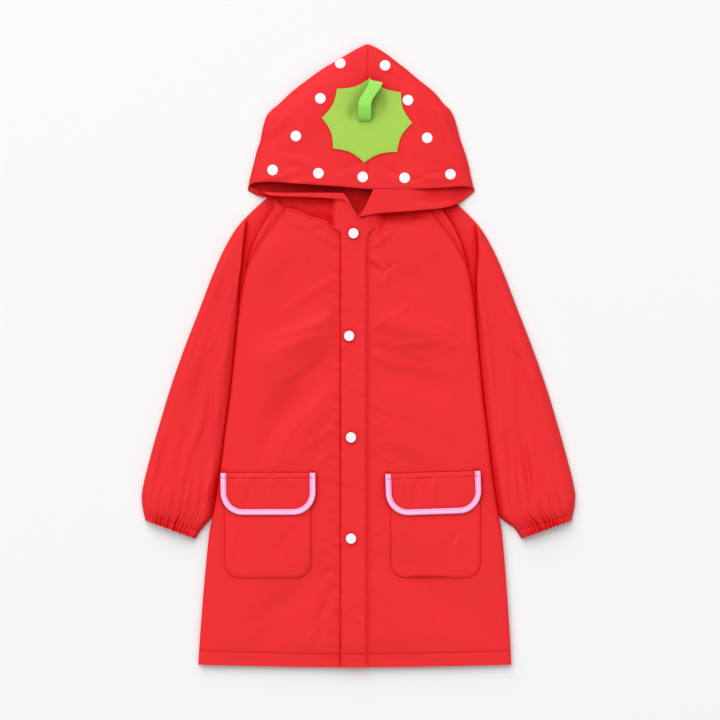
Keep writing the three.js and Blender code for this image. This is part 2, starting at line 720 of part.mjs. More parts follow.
// Tape folded round the flap's edge: its section runs from the inside corner round the L
function binding(flap) {
  const half = flap.width / 2;
  const straight = FLAP_HEIGHT - FLAP_RADIUS;
  const section = [
    { inset: TRIM, lift: TAPE_LIFT },
    { inset: BINDING_WIDTH, lift: TAPE_LIFT },
    { inset: BINDING_WIDTH, lift: TAPE_LIFT + TRIM },
    { inset: 0, lift: TAPE_LIFT + TRIM },
    { inset: 0, lift: FLAP_LIFT },
    { inset: TRIM, lift: FLAP_LIFT },
  ];
  const route = [{ dx: -half, dy: 0, angle: 0 }, { dx: -half, dy: straight / 2, angle: 0 }];
  const arcSteps = 6;
  for (const side of [-1, 1]) {
    for (let i = 0; i <= arcSteps; i += 1) {
      const angle = (Math.PI / 2) * (i / arcSteps) + (side > 0 ? Math.PI / 2 : 0);
      const centre = side * (half - FLAP_RADIUS);
      route.push({
        dx: centre - FLAP_RADIUS * Math.cos(angle),
        dy: straight + FLAP_RADIUS * Math.sin(angle),
        angle,
      });
    }
    const third = (half - FLAP_RADIUS) / 3;
    const along = side < 0 ? [-third, third] : [];
    for (const dx of along) route.push({ dx, dy: FLAP_HEIGHT, angle: Math.PI / 2 });
  }
  route.push({ dx: half, dy: straight / 2, angle: Math.PI }, { dx: half, dy: 0, angle: Math.PI });

  const points = [];
  const rings = route.map(({ dx, dy, angle }) =>
    section.map(({ inset, lift }) => {
      const [x, y] = onCoat(flap, dx + inset * Math.cos(angle), dy - inset * Math.sin(angle));
      return points.push([x, y, frontTop(x, y) + lift]) - 1;
    }),
  );
  const faces = [];
  for (let k = 0; k + 1 < rings.length; k += 1) {
    bandFaces([...rings[k], rings[k][0]], [...rings[k + 1], rings[k + 1][0]], faces);
  }
  const firstRing = rings[0];
  const lastRing = rings[rings.length - 1];
  for (let i = 1; i + 1 < section.length; i += 1) {
    faces.push([firstRing[0], firstRing[i + 1], firstRing[i]]);
    faces.push([lastRing[0], lastRing[i], lastRing[i + 1]]);
  }
  return closedGeometry(points, faces);
}

// Applique and strap loop

function calyxRadius(angle) {
  const between = ((angle / (2 * Math.PI)) * CALYX.points) % 1;
  return 1 - CALYX.hollow * Math.sin(Math.PI * between) ** 0.8;
}

function calyx() {
  const rings = [];
  for (let k = 0; k <= CALYX_RINGS; k += 1) {
    const share = 0.02 + (0.98 * k) / CALYX_RINGS;
    const ring = [];
    for (let i = 0; i <= CALYX_STEPS; i += 1) {
      const angle = (2 * Math.PI * (i % CALYX_STEPS)) / CALYX_STEPS;
      const reach = share * lerp(1, calyxRadius(angle), share);
      const x = CALYX.x + CALYX.radiusX * reach * Math.sin(angle + CALYX.turn);
      const y = CALYX.y + CALYX.radiusY * reach * Math.cos(angle + CALYX.turn);
      ring.push([x, y, crownTop(x, y) + SEAM_GAP + TRIM]);
    }
    rings.push(ring);
  }
  const points = [];
  const numbered = (lower) => rings.map((ring) => {
    const row = ring.slice(0, -1).map(([x, y, z]) => points.push([x, y, lower ? z - TRIM : z]) - 1);
    return [...row, row[0]];
  });
  const upper = numbered(false);
  const under = numbered(true);
  const top = [];
  const bottom = [];
  for (let k = 0; k < CALYX_RINGS; k += 1) {
    bandFaces(upper[k], upper[k + 1], top);
    bandFaces(under[k], under[k + 1], bottom);
  }
  const rim = [];
  bandFaces(upper[CALYX_RINGS], under[CALYX_RINGS], rim);
  const cap = [];
  for (let i = 1; i + 1 < CALYX_STEPS; i += 1) cap.push([upper[0][0], upper[0][i + 1], upper[0][i]]);
  const lowerCap = [];
  for (let i = 1; i + 1 < CALYX_STEPS; i += 1) lowerCap.push([under[0][0], under[0][i + 1], under[0][i]]);
  return closedGeometry(points, [...top, ...cap, ...turned([...bottom, ...lowerCap]), ...rim]);
}

// The strap stands up from the applique, leans over and comes back under itself
function stalkLoop() {
  const rise = crownTop(CALYX.x, STALK_PATH[0].y) + SEAM_GAP + TRIM;
  const lean = (y) => STALK_LEAN * smooth((y - STALK_LEAN_START_Y) / (STALK_LEAN_END_Y - STALK_LEAN_START_Y));
  const row = (y, z) =>
    [-1, 0, 1].map((edge) => [CALYX.x - 1 + lean(y) + (edge * STALK_WIDTH) / 2, y, rise + z]);
  const outer = STALK_PATH.map(({ y, z }) => row(y, z + TRIM));
  const inner = STALK_PATH.map(({ y, z }, i) => {
    const before = STALK_PATH[Math.max(0, i - 1)];
    const after = STALK_PATH[Math.min(STALK_PATH.length - 1, i + 1)];
    const run = Math.hypot(after.y - before.y, after.z - before.z);
    return row(y + (TRIM * (after.z - before.z)) / run, z + TRIM - (TRIM * (after.y - before.y)) / run);
  });
  return wall(outer, inner);
}

// Snap cap: a shallow dome with a rolled rim
function snapCap() {
  const profile = [
    [0, 0],
    [SNAP_RADIUS * 0.96, 0],
    [SNAP_RADIUS, SNAP_HEIGHT * 0.3],
    [SNAP_RADIUS * 0.97, SNAP_HEIGHT * 0.75],
    [SNAP_RADIUS * 0.82, SNAP_HEIGHT],
    [SNAP_RADIUS * 0.55, SNAP_HEIGHT * 0.86],
    [0, SNAP_HEIGHT * 0.8],
  ].map(([r, z]) => new THREE.Vector2(r, z));
  const lathe = new THREE.LatheGeometry(profile, SNAP_SIDES).rotateX(Math.PI / 2);
  lathe.deleteAttribute('normal');
  lathe.deleteAttribute('uv');
  return mergeVertices(lathe, 1e-4);
}

// Highest point of the placket (or the throat tab) under a snap cap
function snapSeat({ x, y }) {
  let highest = 0;
  for (let i = 0; i < SNAP_SIDES; i += 1) {
    const angle = (2 * Math.PI * i) / SNAP_SIDES;
    const top = frontTop(x + SNAP_RADIUS * Math.cos(angle), y + SNAP_RADIUS * Math.sin(angle));
    highest = Math.max(highest, top, frontTop(x, y));
  }
  return highest + SEAM_GAP + PLACKET_THICK + SEAM_GAP;
}

// The coat

const coat = new THREE.Group();

function cloth(colour, roughness = 0.42) {
  return new THREE.MeshStandardMaterial({ color: colour, roughness, metalness: 0 });
}

function add(name, geometry, material) {
  const mesh = new THREE.Mesh(geometry, material);
  mesh.name = name;
  coat.add(mesh);
  return mesh;
}

add('back', back(), cloth(COLOURS.red));
add('front_right', frontRight(), cloth(COLOURS.red));
add('front_left', frontLeft(), cloth(COLOURS.red));
add('sleeve_right', sleeve(-1), cloth(COLOURS.red));
add('sleeve_left', sleeve(1), cloth(COLOURS.red));
add('hood_right', joined(hoodShell(-1), lipRight()), cloth(COLOURS.red));
add('hood_left', joined(hoodShell(1), leafLeft(), throatTab()), cloth(COLOURS.red));
for (const pocket of POCKETS) {
  add(pocket.name, roundedPatch(pocket, POCKET_HEIGHT, POCKET_RADIUS, 0, POCKET_LIFT), cloth(COLOURS.red));
}
for (const flap of FLAPS) {
  const edge = TRIM + SEAM_GAP;
  add(`flap_${flap.side}`, roundedPatch(flap, FLAP_HEIGHT, FLAP_RADIUS, edge, FLAP_LIFT), cloth(COLOURS.red));
  add(`binding_${flap.side}`, binding(flap), cloth(COLOURS.pink, 0.75));
}
add('calyx', calyx(), cloth(COLOURS.green, 0.6));
add('stalk_loop', stalkLoop(), cloth(COLOURS.strap, 0.6));
SNAPS.forEach((snap, i) => {
  add(`snap_${i + 1}`, snapCap(), cloth(COLOURS.white, 0.3)).position.set(snap.x, snap.y, snapSeat(snap));
});

export default coat;
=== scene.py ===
"""Child's hooded raincoat of coated taffeta, laid flat and face up on a pale table.

The tables hold millimetres in the frame of the CAD: x to the viewer's right, y from the hem to the hood and z
up. Sides are the wearer's: the right front lies at negative x.
"""

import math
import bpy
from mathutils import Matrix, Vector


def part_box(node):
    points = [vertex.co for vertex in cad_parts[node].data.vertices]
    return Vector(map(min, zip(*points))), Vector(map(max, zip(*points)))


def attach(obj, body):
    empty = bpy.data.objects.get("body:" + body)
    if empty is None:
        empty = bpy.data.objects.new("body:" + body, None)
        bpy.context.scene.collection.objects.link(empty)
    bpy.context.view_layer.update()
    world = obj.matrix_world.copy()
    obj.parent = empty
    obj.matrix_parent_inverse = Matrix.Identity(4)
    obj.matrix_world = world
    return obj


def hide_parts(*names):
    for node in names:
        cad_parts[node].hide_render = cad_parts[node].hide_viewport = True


bl_info = {
    "name": "Child's Hooded Raincoat",
    "version": (1, 0, 0),
    "blender": (4, 5, 0),
    "location": "View3D > Sidebar > Raincoat",
    "description": "Builds a hooded raincoat of coated taffeta laid flat, with its table and lights",
    "category": "Add Mesh",
}

import bmesh
import bpy
import numpy as np
from bpy.props import FloatProperty, FloatVectorProperty, PointerProperty
from mathutils import Vector

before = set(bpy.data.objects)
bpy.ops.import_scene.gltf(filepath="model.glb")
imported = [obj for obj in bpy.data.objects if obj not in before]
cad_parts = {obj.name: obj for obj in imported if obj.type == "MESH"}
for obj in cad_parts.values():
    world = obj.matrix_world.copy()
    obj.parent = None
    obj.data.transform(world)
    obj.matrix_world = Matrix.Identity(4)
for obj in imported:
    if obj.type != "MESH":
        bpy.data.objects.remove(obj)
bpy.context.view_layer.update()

MM = 0.001
RIGHT, LEFT = -1, 1

# Walls of the CAD, and the gap between its pieces
CLOTH = 1.4
TRIM = 1.0
SEAM_GAP = 0.3
SEAM_OVERLAP = 1.0

# Body
SEAM_HEIGHT = 7.8
CROWN = 3.4
BACK_EDGE_LIFT = 4.7
BACK_LIFT_WIDTH = 18
BACK_LIFT_FLAT = 5
MIDLINE_HEM_X = -4.5
MIDLINE_NECK_X = -1
HEM_Y = -370.5
HEM_STITCH_UP = 16.5
HEM_PINCH_Y = -330
# Share of the crown that is gone at the hem, and y where it starts to sink
HEM_SINK = 0.85
HEM_SINK_Y = -335
RAGLAN_TOP_Y = 177
BACK_NECK_Y = 182
UNDERARM_ROW = 15
NECK_CURVE_START = 0.6
# Hollow of the left front below the folded lip: depth, length down from the neck seam, and its ends in x
NECK_HOLLOW = 6.0
NECK_HOLLOW_RUN = 30
NECK_HOLLOW_FROM_X = 22
NECK_HOLLOW_TO_X = 90

# Half width of the body at its seam, y there, and y where the same row meets the front edge
HALF, SIDE_Y, MID_Y = np.array([
    (188.0, HEM_Y, -373.8),
    (186.3, -341, -342),
    (183.3, -298, -298),
    (179.7, -254, -254),
    (175.5, -211, -211),
    (169.3, -179, -179),
    (164.6, -150, -150),
    (161.1, -125, -125),
    (156.9, -89, -89),
    (152.1, -53, -53),
    (148.3, -17, -18),
    (144.8, 19, 16),
    (141.0, 55, 48),
    (138.0, 79, 70),
    (134.5, 98, 88),
    (130.0, 112, 101),
    (122.5, 127, 113),
    (112.0, 143, 124),
    (99.5, 160, 133),
    (87.0, RAGLAN_TOP_Y, 141.5),
]).T

# Placket
PLACKET_EDGE_X = -21
PLACKET_STITCH_X = 9
PLACKET_FALL = 5.5
PLACKET_THICK = 2.2
UNDERLAP_X = 7.5
PLACKET_MIDDLE_X = -6
PLACKET_CALM = 16
# Puckers along the placket's stitches and drags beside its edge: height, length over 2 pi, phase of each wave
PUCKER_HEIGHT = 0.24
PUCKER_WAVES = [(0.8, 1.5, 0), (1.0, 2.3, 1.3), (0.8, 3.7, 0.4)]
DRAG_HEIGHT = 0.5

# Neck seams, x and y
NECK_RIGHT = np.array([
    (-88, RAGLAN_TOP_Y), (-74, 175.2), (-60.6, 168.5), (-37.8, 161.5),
    (-32, 153.5), (-24, 147.5), (-19, 141.5), (UNDERLAP_X, 141.5),
]).T
NECK_LEFT = np.array([
    (PLACKET_EDGE_X, 141.5), (5.4, 142.5), (19.8, 152.4), (23, 168), (45, 176), (86, RAGLAN_TOP_Y),
]).T

# Large soft folds of the fronts: from x, y to x, y, width and height
FRONT_FOLDS = [
    (-40, 40, -128, -25, 15, 1.3),
    (-30, -20, -122, -105, 17, -1.2),
    (14, 112, 30, 92, 9, 1.2),
    (30, 92, 88, 128, 13, 1.0),
    (30, 38, 122, 12, 16, 1.2),
    (26, -22, 126, -40, 18, -1.1),
    (-100, 85, -70, -5, 15, -0.9),
]

# Finer creases of the fronts: from x, y to x, y, sideways bow of the middle, width, height
FRONT_CREASES = [
    # Broad soft folds
    (-30, 52, -134, -16, 0, 15, 2.3),
    (-24, 14, -118, -90, 0, 16, -3.2),
    (-36, -44, -104, -150, 0, 15, 2.4),
    (-60, 120, -112, 60, 0, 18, -2.0),
    (-30, -240, -120, -330, 0, 20, -2.2),
    (-150, -220, -120, -330, 0, 20, 1.8),
    (20, 118, 104, 62, 0, 16, -2.0),
    (18, 46, 120, 20, 0, 14, 2.0),
    (40, -6, 112, -56, 0, 17, -3.0),
    (20, -80, 110, -132, 0, 15, 2.2),
    (30, -230, 120, -330, 0, 20, -2.2),
    (100, -200, 160, -330, 0, 20, 1.8),
    # Right front, from the placket down to the pocket
    (-24, 92, -96, 48, 4, 5.0, 0.8),
    (-26, 52, -120, 22, -6, 4.5, 0.7),
    (-24, 26, -92, 8, 5, 3.5, 0.8),
    (-28, 8, -104, -44, -5, 4.5, -0.8),
    (-26, -36, -118, -138, 8, 6.0, 0.9),
    (-62, -66, -108, -140, 3, 3.2, 1.1),
    (-92, -124, -104, -140, 1, 2.2, 0.9),
    (-24, -74, -72, -112, -4, 4.0, 0.7),
    (-25, -112, -50, -132, 3, 3.0, 0.8),
    (-24, -86, -44, -98, 2, 2.6, 0.6),
    (-24, -226, -50, -238, 3, 3.0, 0.8),
    (-23, -206, -46, -196, -2, 2.8, 0.7),
    (-24, -252, -50, -272, 3, 4.0, -0.7),
    (-28, -270, -46, -344, 5, 5.0, -1.2),
    (-24, -300, -64, -356, 5, 5.0, 0.9),
    (-60, -300, -150, -352, 6, 7.0, 0.7),
    (-150, -300, -176, -352, -4, 5.0, 0.6),
    (-88, 164, -40, 158, 5, 3.6, 0.9),
    (-42, 152, -26, 128, 3, 3.0, 0.8),
    (-60, 158, -30, 138, -3, 3.0, -0.8),
    (-98, 140, -118, 96, 4, 5.0, 0.6),
    (-58, 128, -92, 84, -3, 7.0, 0.5),
    (-128, 66, -120, -20, 4, 6.0, 0.5),
    (-140, 24, -136, -60, 3, 4.0, 0.7),
    (-150, -80, -154, -130, 3, 3.6, -0.6),
    # Left front: the creases that meet below the top snap, and those round the lower ones
    (6, 120, 28, 95, -2, 2.6, -1.4),
    (28, 95, 46, 112, -3, 2.8, -1.1),
    (12, 128, 44, 158, 3, 3.2, 1.0),
    (14, 118, 36, 92, -6, 4.0, 1.0),
    (34, 92, 96, 66, 5, 6.0, 0.9),
    (18, 112, 60, 84, -3, 3.0, 0.5),
    (14, 32, 34, 46, 2, 2.6, 1.1),
    (36, 46, 62, 66, 3, 3.2, 0.7),
    (14, 22, 104, 22, 8, 4.5, 0.9),
    (14, 14, 92, -8, 5, 4.5, -0.9),
    (14, 6, 62, -34, -4, 4.0, 0.8),
    (104, 10, 128, 18, 2, 2.6, 1.0),
    (90, 40, 124, 24, -3, 3.4, 0.7),
    (40, -50, 122, -96, 8, 8.0, 0.7),
    (13, -52, 44, -70, 3, 3.0, 0.8),
    (13, -86, 34, -74, 2, 2.4, 0.9),
    (13, -104, 44, -128, 3, 3.0, 0.8),
    (14, -100, 66, -100, -5, 5.0, -0.6),
    (13, -212, 34, -204, 2, 2.6, 0.7),
    (13, -226, 34, -240, 2, 2.6, 0.8),
    (14, -260, 48, -300, 4, 5.0, 0.6),
    (60, -290, 138, -344, 6, 8.0, 0.6),
    (150, -280, 172, -350, 4, 5.0, 0.5),
    (88, 158, 60, 162, 3, 3.4, 0.8),
    (24, 160, 44, 150, 2, 2.8, -0.9),
    (100, 136, 112, 96, -4, 5.0, 0.6),
    (132, 60, 128, -10, -4, 5.0, 0.6),
    (144, -20, 150, -110, -3, 4.0, 0.6),
    (140, -136, 124, -120, 2, 2.4, 0.7),
]

# The same kind of creases under the back, where the cloth stands off the table
BACK_CREASES = [
    (-40, 110, -118, 20, 8, 7, 1.0),
    (30, 96, 96, 40, -6, 6, 0.9),
    (-20, 20, -104, -70, 10, 8, 1.0),
    (20, -10, 110, -64, 8, 7, 0.9),
    (-110, -120, -60, -190, -6, 7, 0.8),
    (70, -140, 130, -220, 6, 7, 0.8),
    (-30, -200, -120, -300, 8, 8, 1.0),
    (10, -240, 70, -330, -6, 7, 0.9),
    (-60, 160, 60, 158, 6, 5, 0.8),
]

# Edge folds of the tubes
SLEEVE_TIP = 2.6
UNDERARM_TIP = 2.2
HOOD_TIP = 3
FOLD_ROUND = 12
FLOOR_ROUND = 4

# Sleeve, neck to cuff: row of the raglan seam or None, y of the inner end, its tuck under the body, its x where
# it stands by itself, x and y of the outer fold, height, and swing of the gathers underneath
SLEEVE_STATIONS = [
    (19, None, 0, None, 104, 195, 8.2, 0),
    (18, None, 0, None, 129, 172.8, 8.8, 0),
    (17, None, 0, None, 145.5, 155, 10, 0),
    (16, None, 0, None, 158, 135, 10.4, 0),
    (15, None, 0, None, 169, 112.5, 10.6, 0),
    (None, 104, 1.6, None, 173.5, 101.5, 10.6, 0),
    (None, 93, 4, None, 179, 88, 10.6, 0),
    (None, 60, 4, None, 190.5, 57.5, 10.4, 0),
    (None, 15, 4, None, 208.6, 11, 10, 0),
    (None, -30, 4, None, 224.5, -34, 10, 0),
    (None, -75, 4, None, 239.2, -82, 10.4, 0),
    (None, -116, 4, None, 251.5, -126, 11, 0),
    (None, -148, 4, None, 258, -152, 12, 0.2),
    (None, -174, 3, None, 260.6, -168, 12.6, 0.55),
    (None, -192, 0, None, 260, -179, 12.4, 0.9),
    (None, -207, 0, 187, 258.4, -187.5, 11, 1.1),
    (None, -209.5, 0, 189, 258, -189.5, 10.8, 0.6),
    (None, -219.6, 0, 195.8, 256, -197.4, 11, 1.1),
]
CLOSED_FROM = 5
# Stations where the sleeve starts to round off to its cuff, and where the elastic is sewn in
CUFF_START = 13.4
CUFF_STITCH = 16
CUFF_OUTER = (256, -197.4)
# The sleeve's own fold beyond the body's edge: y, distance from that edge, then the length of its rise from the
# valley beside the edge
ARM_FOLD = {
    RIGHT: np.array([
        (-190, 0, 12), (0, 0.2, 12), (55, 1.2, 9), (73, 2.2, 5), (106.8, 5.8, 3), (133, 16.6, 3),
        (163, 35, 4),
    ]).T,
    LEFT: np.array([
        (-190, 0, 10), (0, 0.2, 10), (55, 1.4, 7), (73, 3.0, 4), (96, 6.6, 3), (121.2, 17.6, 3),
        (160, 41, 4),
    ]).T,
}
ARM_FOLD_TOP_Y = {RIGHT: 168, LEFT: 165}
# Strip of the sleeve that the raglan seam's allowance holds up: y, width
SEAM_STRIP = np.array([(98, 0), (110, 0.7), (152, 10.4), (162, 12), (186, 14)]).T
VALLEY_LOW_Z = 3.0
VALLEY_TOP_Z = 3.8

# Creases of each sleeve: from x, y to x, y, bow, width, height
SLEEVE_CREASES = {
    RIGHT: [
        (-160, 90, -206, -90, 0, 12, -1.5),
        (-196, 20, -240, -130, 0, 12, 1.3),
        (-166, -70, -196, -170, 0, 11, -1.4),
        (-150, 150, -172, 60, 6, 6.0, 0.9),
        (-146, 120, -160, 20, -5, 5.0, -0.8),
        (-170, 40, -204, -80, 10, 9.0, 1.0),
        (-186, 60, -214, -30, -6, 6.0, -0.8),
        (-158, 10, -172, -70, 3, 4.0, 0.8),
        (-166, -50, -178, -140, 4, 4.6, 0.9),
        (-176, -30, -196, -120, -5, 4.0, -0.9),
        (-190, -84, -214, -172, 6, 5.0, 1.1),
        (-212, -60, -236, -160, -6, 6.0, 0.9),
        (-226, -92, -244, -168, 3, 4.0, -0.9),
        (-182, -150, -176, -186, 2, 3.4, 1.0),
        (-164, -60, -160, -96, 2, 3.0, -0.7),
        (-172, 34, -182, 2, -3, 3.4, 0.8),
        (-148, 92, -156, 58, 2, 4.0, 0.6),
    ],
    LEFT: [
        (152, 110, 190, -60, 0, 12, -1.4),
        (186, 60, 232, -110, 0, 13, 1.4),
        (176, -90, 214, -168, 0, 11, -1.4),
        (148, 142, 166, 40, -6, 6.0, 0.9),
        (160, 120, 186, 20, 5, 6.0, -0.8),
        (150, 50, 160, -60, -3, 4.0, 0.8),
        (164, 30, 184, -90, -8, 6.0, 0.9),
        (186, 40, 210, -60, 6, 7.0, -0.8),
        (200, -10, 228, -120, -6, 6.0, 1.0),
        (170, -60, 182, -160, 3, 4.4, 0.9),
        (186, -70, 206, -172, -5, 4.6, -1.0),
        (206, -96, 224, -176, 4, 4.4, 1.1),
        (226, -90, 246, -164, -3, 5.0, 0.9),
        (190, 24, 196, -4, 3, 3.4, 0.8),
        (174, -120, 168, -156, 3, 3.2, 0.8),
        (216, -140, 232, -176, 2, 3.2, -0.9),
        (152, 96, 160, 62, -2, 4.0, 0.6),
    ],
}
# Gathers of each cuff: place across the top, half width, swing, and reach up the sleeve
CUFF_GATHERS = {
    RIGHT: [
        (0.06, 0.030, 1.7, 16), (0.13, 0.026, 2.1, 26), (0.20, 0.022, 1.8, 15), (0.27, 0.030, 2.4, 40),
        (0.34, 0.020, 1.6, 14), (0.40, 0.024, 2.3, 24), (0.47, 0.022, 1.8, 16), (0.53, 0.028, 2.3, 34),
        (0.60, 0.020, 1.7, 14), (0.66, 0.024, 2.2, 22), (0.73, 0.026, 1.9, 30), (0.80, 0.020, 2.0, 16),
        (0.86, 0.024, 1.9, 36), (0.93, 0.022, 1.5, 18),
    ],
    LEFT: [
        (0.05, 0.026, 1.6, 18), (0.12, 0.024, 2.0, 28), (0.19, 0.028, 2.2, 16), (0.26, 0.022, 1.7, 38),
        (0.33, 0.026, 2.3, 18), (0.40, 0.020, 1.8, 26), (0.46, 0.026, 2.2, 15), (0.54, 0.024, 1.9, 34),
        (0.61, 0.022, 2.1, 16), (0.68, 0.026, 1.9, 24), (0.75, 0.020, 1.7, 14), (0.81, 0.024, 2.2, 32),
        (0.88, 0.022, 1.7, 18), (0.94, 0.020, 1.3, 24),
    ],
}

# Hood from the mouth to the peak: y, half width, lean of the middle, height
HOOD_Y, HOOD_HALF, HOOD_MIDDLE, HOOD_HEIGHT = np.array([
    (201, 135.6, 3.0, 18),
    (216, 132.4, 2.6, 17.4),
    (230.4, 129, 3.0, 16.8),
    (244.8, 125.2, 2.6, 16.4),
    (259.2, 120.2, 2.4, 16),
    (273.6, 117, 1.8, 15.6),
    (288, 112.4, 1.8, 15.2),
    (295.2, 107.6, 2.8, 14.8),
    (302.4, 99.6, 3.4, 14.4),
    (316.8, 86, 5.0, 13.4),
    (331.2, 67.8, 5.4, 12),
    (345.6, 49.2, 7, 10.4),
    (352.8, 38.2, 8.4, 9.4),
    (360, 27.6, 10, 8.4),
    (367.2, 16.2, 10.8, 7.2),
    (371.6, 8.2, 11, 6.0),
    (374.2, 2.4, 11, 4.8),
]).T
HOOD_SHAPE = 4
HOOD_SEAM_X = 11.4
BRIM = np.array([
    (-132.6, 200.6), (-131, 204.2), (-123, 208.2), (-104, 208.8), (-78, 206.8), (-48, 204.8), (-18, 202.8),
    (8, 200.4), (19, 199.8), (70, 200.4), (104, 202), (127, 203.6), (134.5, 202.6), (138.6, 199),
]).T
HOOD_BACK_EDGE = np.array([
    (0, BACK_NECK_Y), (82, 178.4), (90, 184), (104, 193), (112, 191.2), (121, 193.6),
    (128, 197), (136, 201),
]).T
HOOD_CREASES = [
    (98, 300, 132, 229, 4, 4.0, 1.3),
    (92, 312, 124, 252, -3, 3.4, -1.0),
    (106, 262, 128, 214, 3, 3.4, 1.2),
    (52, 222, 128, 212, 4, 4.0, 0.9),
    (60, 210, 124, 222, -3, 3.0, -0.8),
    (70, 252, 110, 232, 4, 5.0, 0.8),
    (20, 236, 52, 216, 3, 3.6, -0.9),
    (-118, 214, -62, 226, 4, 4.0, 0.9),
    (-112, 206, -48, 212, 3, 3.6, 0.9),
    (-100, 236, -40, 222, -5, 6.0, 0.7),
    (-116, 262, -84, 292, 3, 5.0, 0.9),
    (-108, 288, -66, 318, -4, 6.0, -0.7),
    (-90, 250, -60, 290, 5, 8.0, 0.6),
    (-46, 338, -20, 352, 2, 4.0, 0.6),
    (30, 340, 58, 318, -3, 4.0, -0.8),
    (64, 318, 92, 284, 4, 5.0, 0.8),
    (84, 284, 104, 250, -4, 5.0, 0.7),
    (-30, 222, 6, 236, 3, 4.0, -0.7),
]
# Dents of the hood beside the strap: x from the patch's middle, y, depth
HOOD_DENTS = [(-16, 290, 2.4), (17, 301, 2.2)]

# Lower lip of the right half: its edge in the mouth, and its lower edge out to the corner
LIP_RIGHT = np.array([
    (-132.6, 204), (-128, 202), (-121, 199), (-112, 196.8), (-101, 195.8), (-88, 195.6), (-74, 195.6),
    (-60, 195.6), (-19, 195.2), (-6, 176.6), (0, 166),
]).T
LIP_LOWER = np.array([
    (-132.6, 199.4), (-128, 196.8), (-121.8, 193.4), (-112, 191.2), (-104, 190), (-98, 186.8),
    (-93, 181.4), (-88, 176.2),
]).T
# Strip along its edge that stands up from the hollow cloth below: x, width
LIP_STRIP = np.array([(-134, 0), (-118, 0.5), (-108, 4.2), (-60, 5.8), (-22, 8.0)]).T
LIP_STRIP_RISE = 1.8
LIP_STRIP_Z = 16.2
LIP_RECESS_Z = 5.2
LIP_CORNER_Z = 2.4
LIP_CORNER_X = 130
LIP_CORNER_RUN = 26
LIP_CREASES = [
    (-72, 187, -56, 170, 2, 4.6, 1.5),
    (-50, 180, -26, 162, -2, 4.0, 0.8),
    (-92, 186, -74, 176, 2, 4.0, 0.8),
]

# Lower lip of the left half, folded outwards: x, y on its fold, then x, y on its edge in the mouth
LEAF = np.array([
    (1.8, 166.8, 21, 206),
    (12, 169.2, 32, 206.5),
    (23.4, 171.2, 42, 207),
    (50, 173.2, 62, 208),
    (75, 175.4, 82, 208),
    (92, 176.6, 98, 208),
    (105, 178.6, 110, 208),
    (119.4, 183.6, 122, 207),
    (129, 189.6, 130, 206),
    (134.6, 194.4, 135, 203.5),
    (139, 198.8, 138.4, 201),
]).T
LEAF_TOP_Z = 16.6
LIP_FLOOR_Z = 0.3
LEAF_TURN = 3.0
# How far the lip lies lower towards the shoulder, and x where it starts to
LEAF_SINK = 8.6
LEAF_SINK_X = 50
LEAF_CREASES = [
    (20, 176, 70, 200, 4, 4, 0.8),
    (60, 178, 104, 192, -3, 4, -0.8),
]

# Throat tab above the placket: x and y of its upper edge
TAB_TOP = np.array([
    (PLACKET_EDGE_X, 157), (-17, 163), (-9, 166), (0, 170), (6, 175), (30, 180),
]).T
TAB_END_X = 26

# Pockets: x of the middle, width. Flaps: x of the middle, y of the top, width, tilt in degrees.
# Their creases have x from that middle and, for the flaps, y from that top
POCKET_TOP_Y = -176.6
POCKET_HEIGHT = 89
POCKET_RADIUS = 18
POCKET_STITCH_IN = 1.4
POCKETS = {"right": (-108.9, 102.6), "left": (92.4, 106.8)}
POCKET_CREASES = [
    (-30, -196, -44, -250, 4, 5, 0.5),
    (6, -190, 30, -252, -4, 6, 0.6),
    (40, -200, 10, -240, 3, 4, -0.5),
]
FLAP_HEIGHT = 50.4
FLAP_RADIUS = 27
FLAP_STITCH_DOWN = 6
FLAPS = {"right": (-108.6, -140.2, 114.2, 0.2), "left": (89.2, -139.6, 114.6, 1.9)}
FLAP_CREASES = [
    (-34, -4, -38, -42, 2, 3.4, 0.7),
    (-14, -3, -22, -44, 3, 4.0, -0.7),
    (4, -4, 2, -40, 2, 4.6, 0.8),
    (26, -6, 36, -40, -3, 4.0, 0.6),
]
BINDING_WIDTH = 7
POCKET_LIFT = SEAM_GAP
FLAP_LIFT = POCKET_LIFT + TRIM + SEAM_GAP
TAPE_LIFT = FLAP_LIFT + TRIM + SEAM_GAP

# Leaf patch and strap loop
CALYX_X, CALYX_Y, CALYX_RADIUS_X, CALYX_RADIUS_Y = 10.2, 282.4, 54.6, 51.0
CALYX_POINTS = 8
CALYX_TURN = 0.06
CALYX_HOLLOW = 0.16
# Share of its radius where the patch is stitched down
CALYX_STITCH = 0.94
STALK_X = 7.4
STALK_WIDTH = 15.4
STALK_LEAN = 13.5
STALK_SLANT = 1.5
STALK_LEAN_START_Y = 300
STALK_LEAN_END_Y = 330
STALK_Y, STALK_Z = np.array([
    (281.5, 0.6), (285, 3.8), (293, 7.6), (301, 9.8), (310, 9.6), (319, 9.2), (326, 8.6),
    (328.8, 7.4), (327, 5.8), (319, 5.2), (308, 4.4), (299, 2.6), (293, 0.6),
]).T

SNAPS = [(-6, 147), (-11.2, 24), (-9, -97.6), (-9, -218.9)]
SNAP_RADIUS = 6.2
SNAP_HEIGHT = 1.9
# Half of the cap's section, as shares of its radius and height: flat foot, rolled rim, groove and shallow dome
SNAP_PROFILE = [
    (0.0, 0.0), (0.9, 0.0), (0.985, 0.08), (1.0, 0.3), (1.0, 0.62), (0.975, 0.84), (0.92, 0.96), (0.85, 1.0),
    (0.78, 0.97), (0.73, 0.9), (0.7, 0.84), (0.66, 0.83), (0.6, 0.86), (0.45, 0.91), (0.28, 0.94), (0.0, 0.95),
]

# Printed dots: x and y of the middle
DOTS = [
    (-22, 351.4), (31.9, 348.7), (-45.8, 308.9), (59.3, 306.8), (-75.1, 263.6), (82.3, 261.5),
    (-103, 223.0), (-48, 219), (5.1, 214.5), (55.2, 213.4), (110.2, 217.9),
]


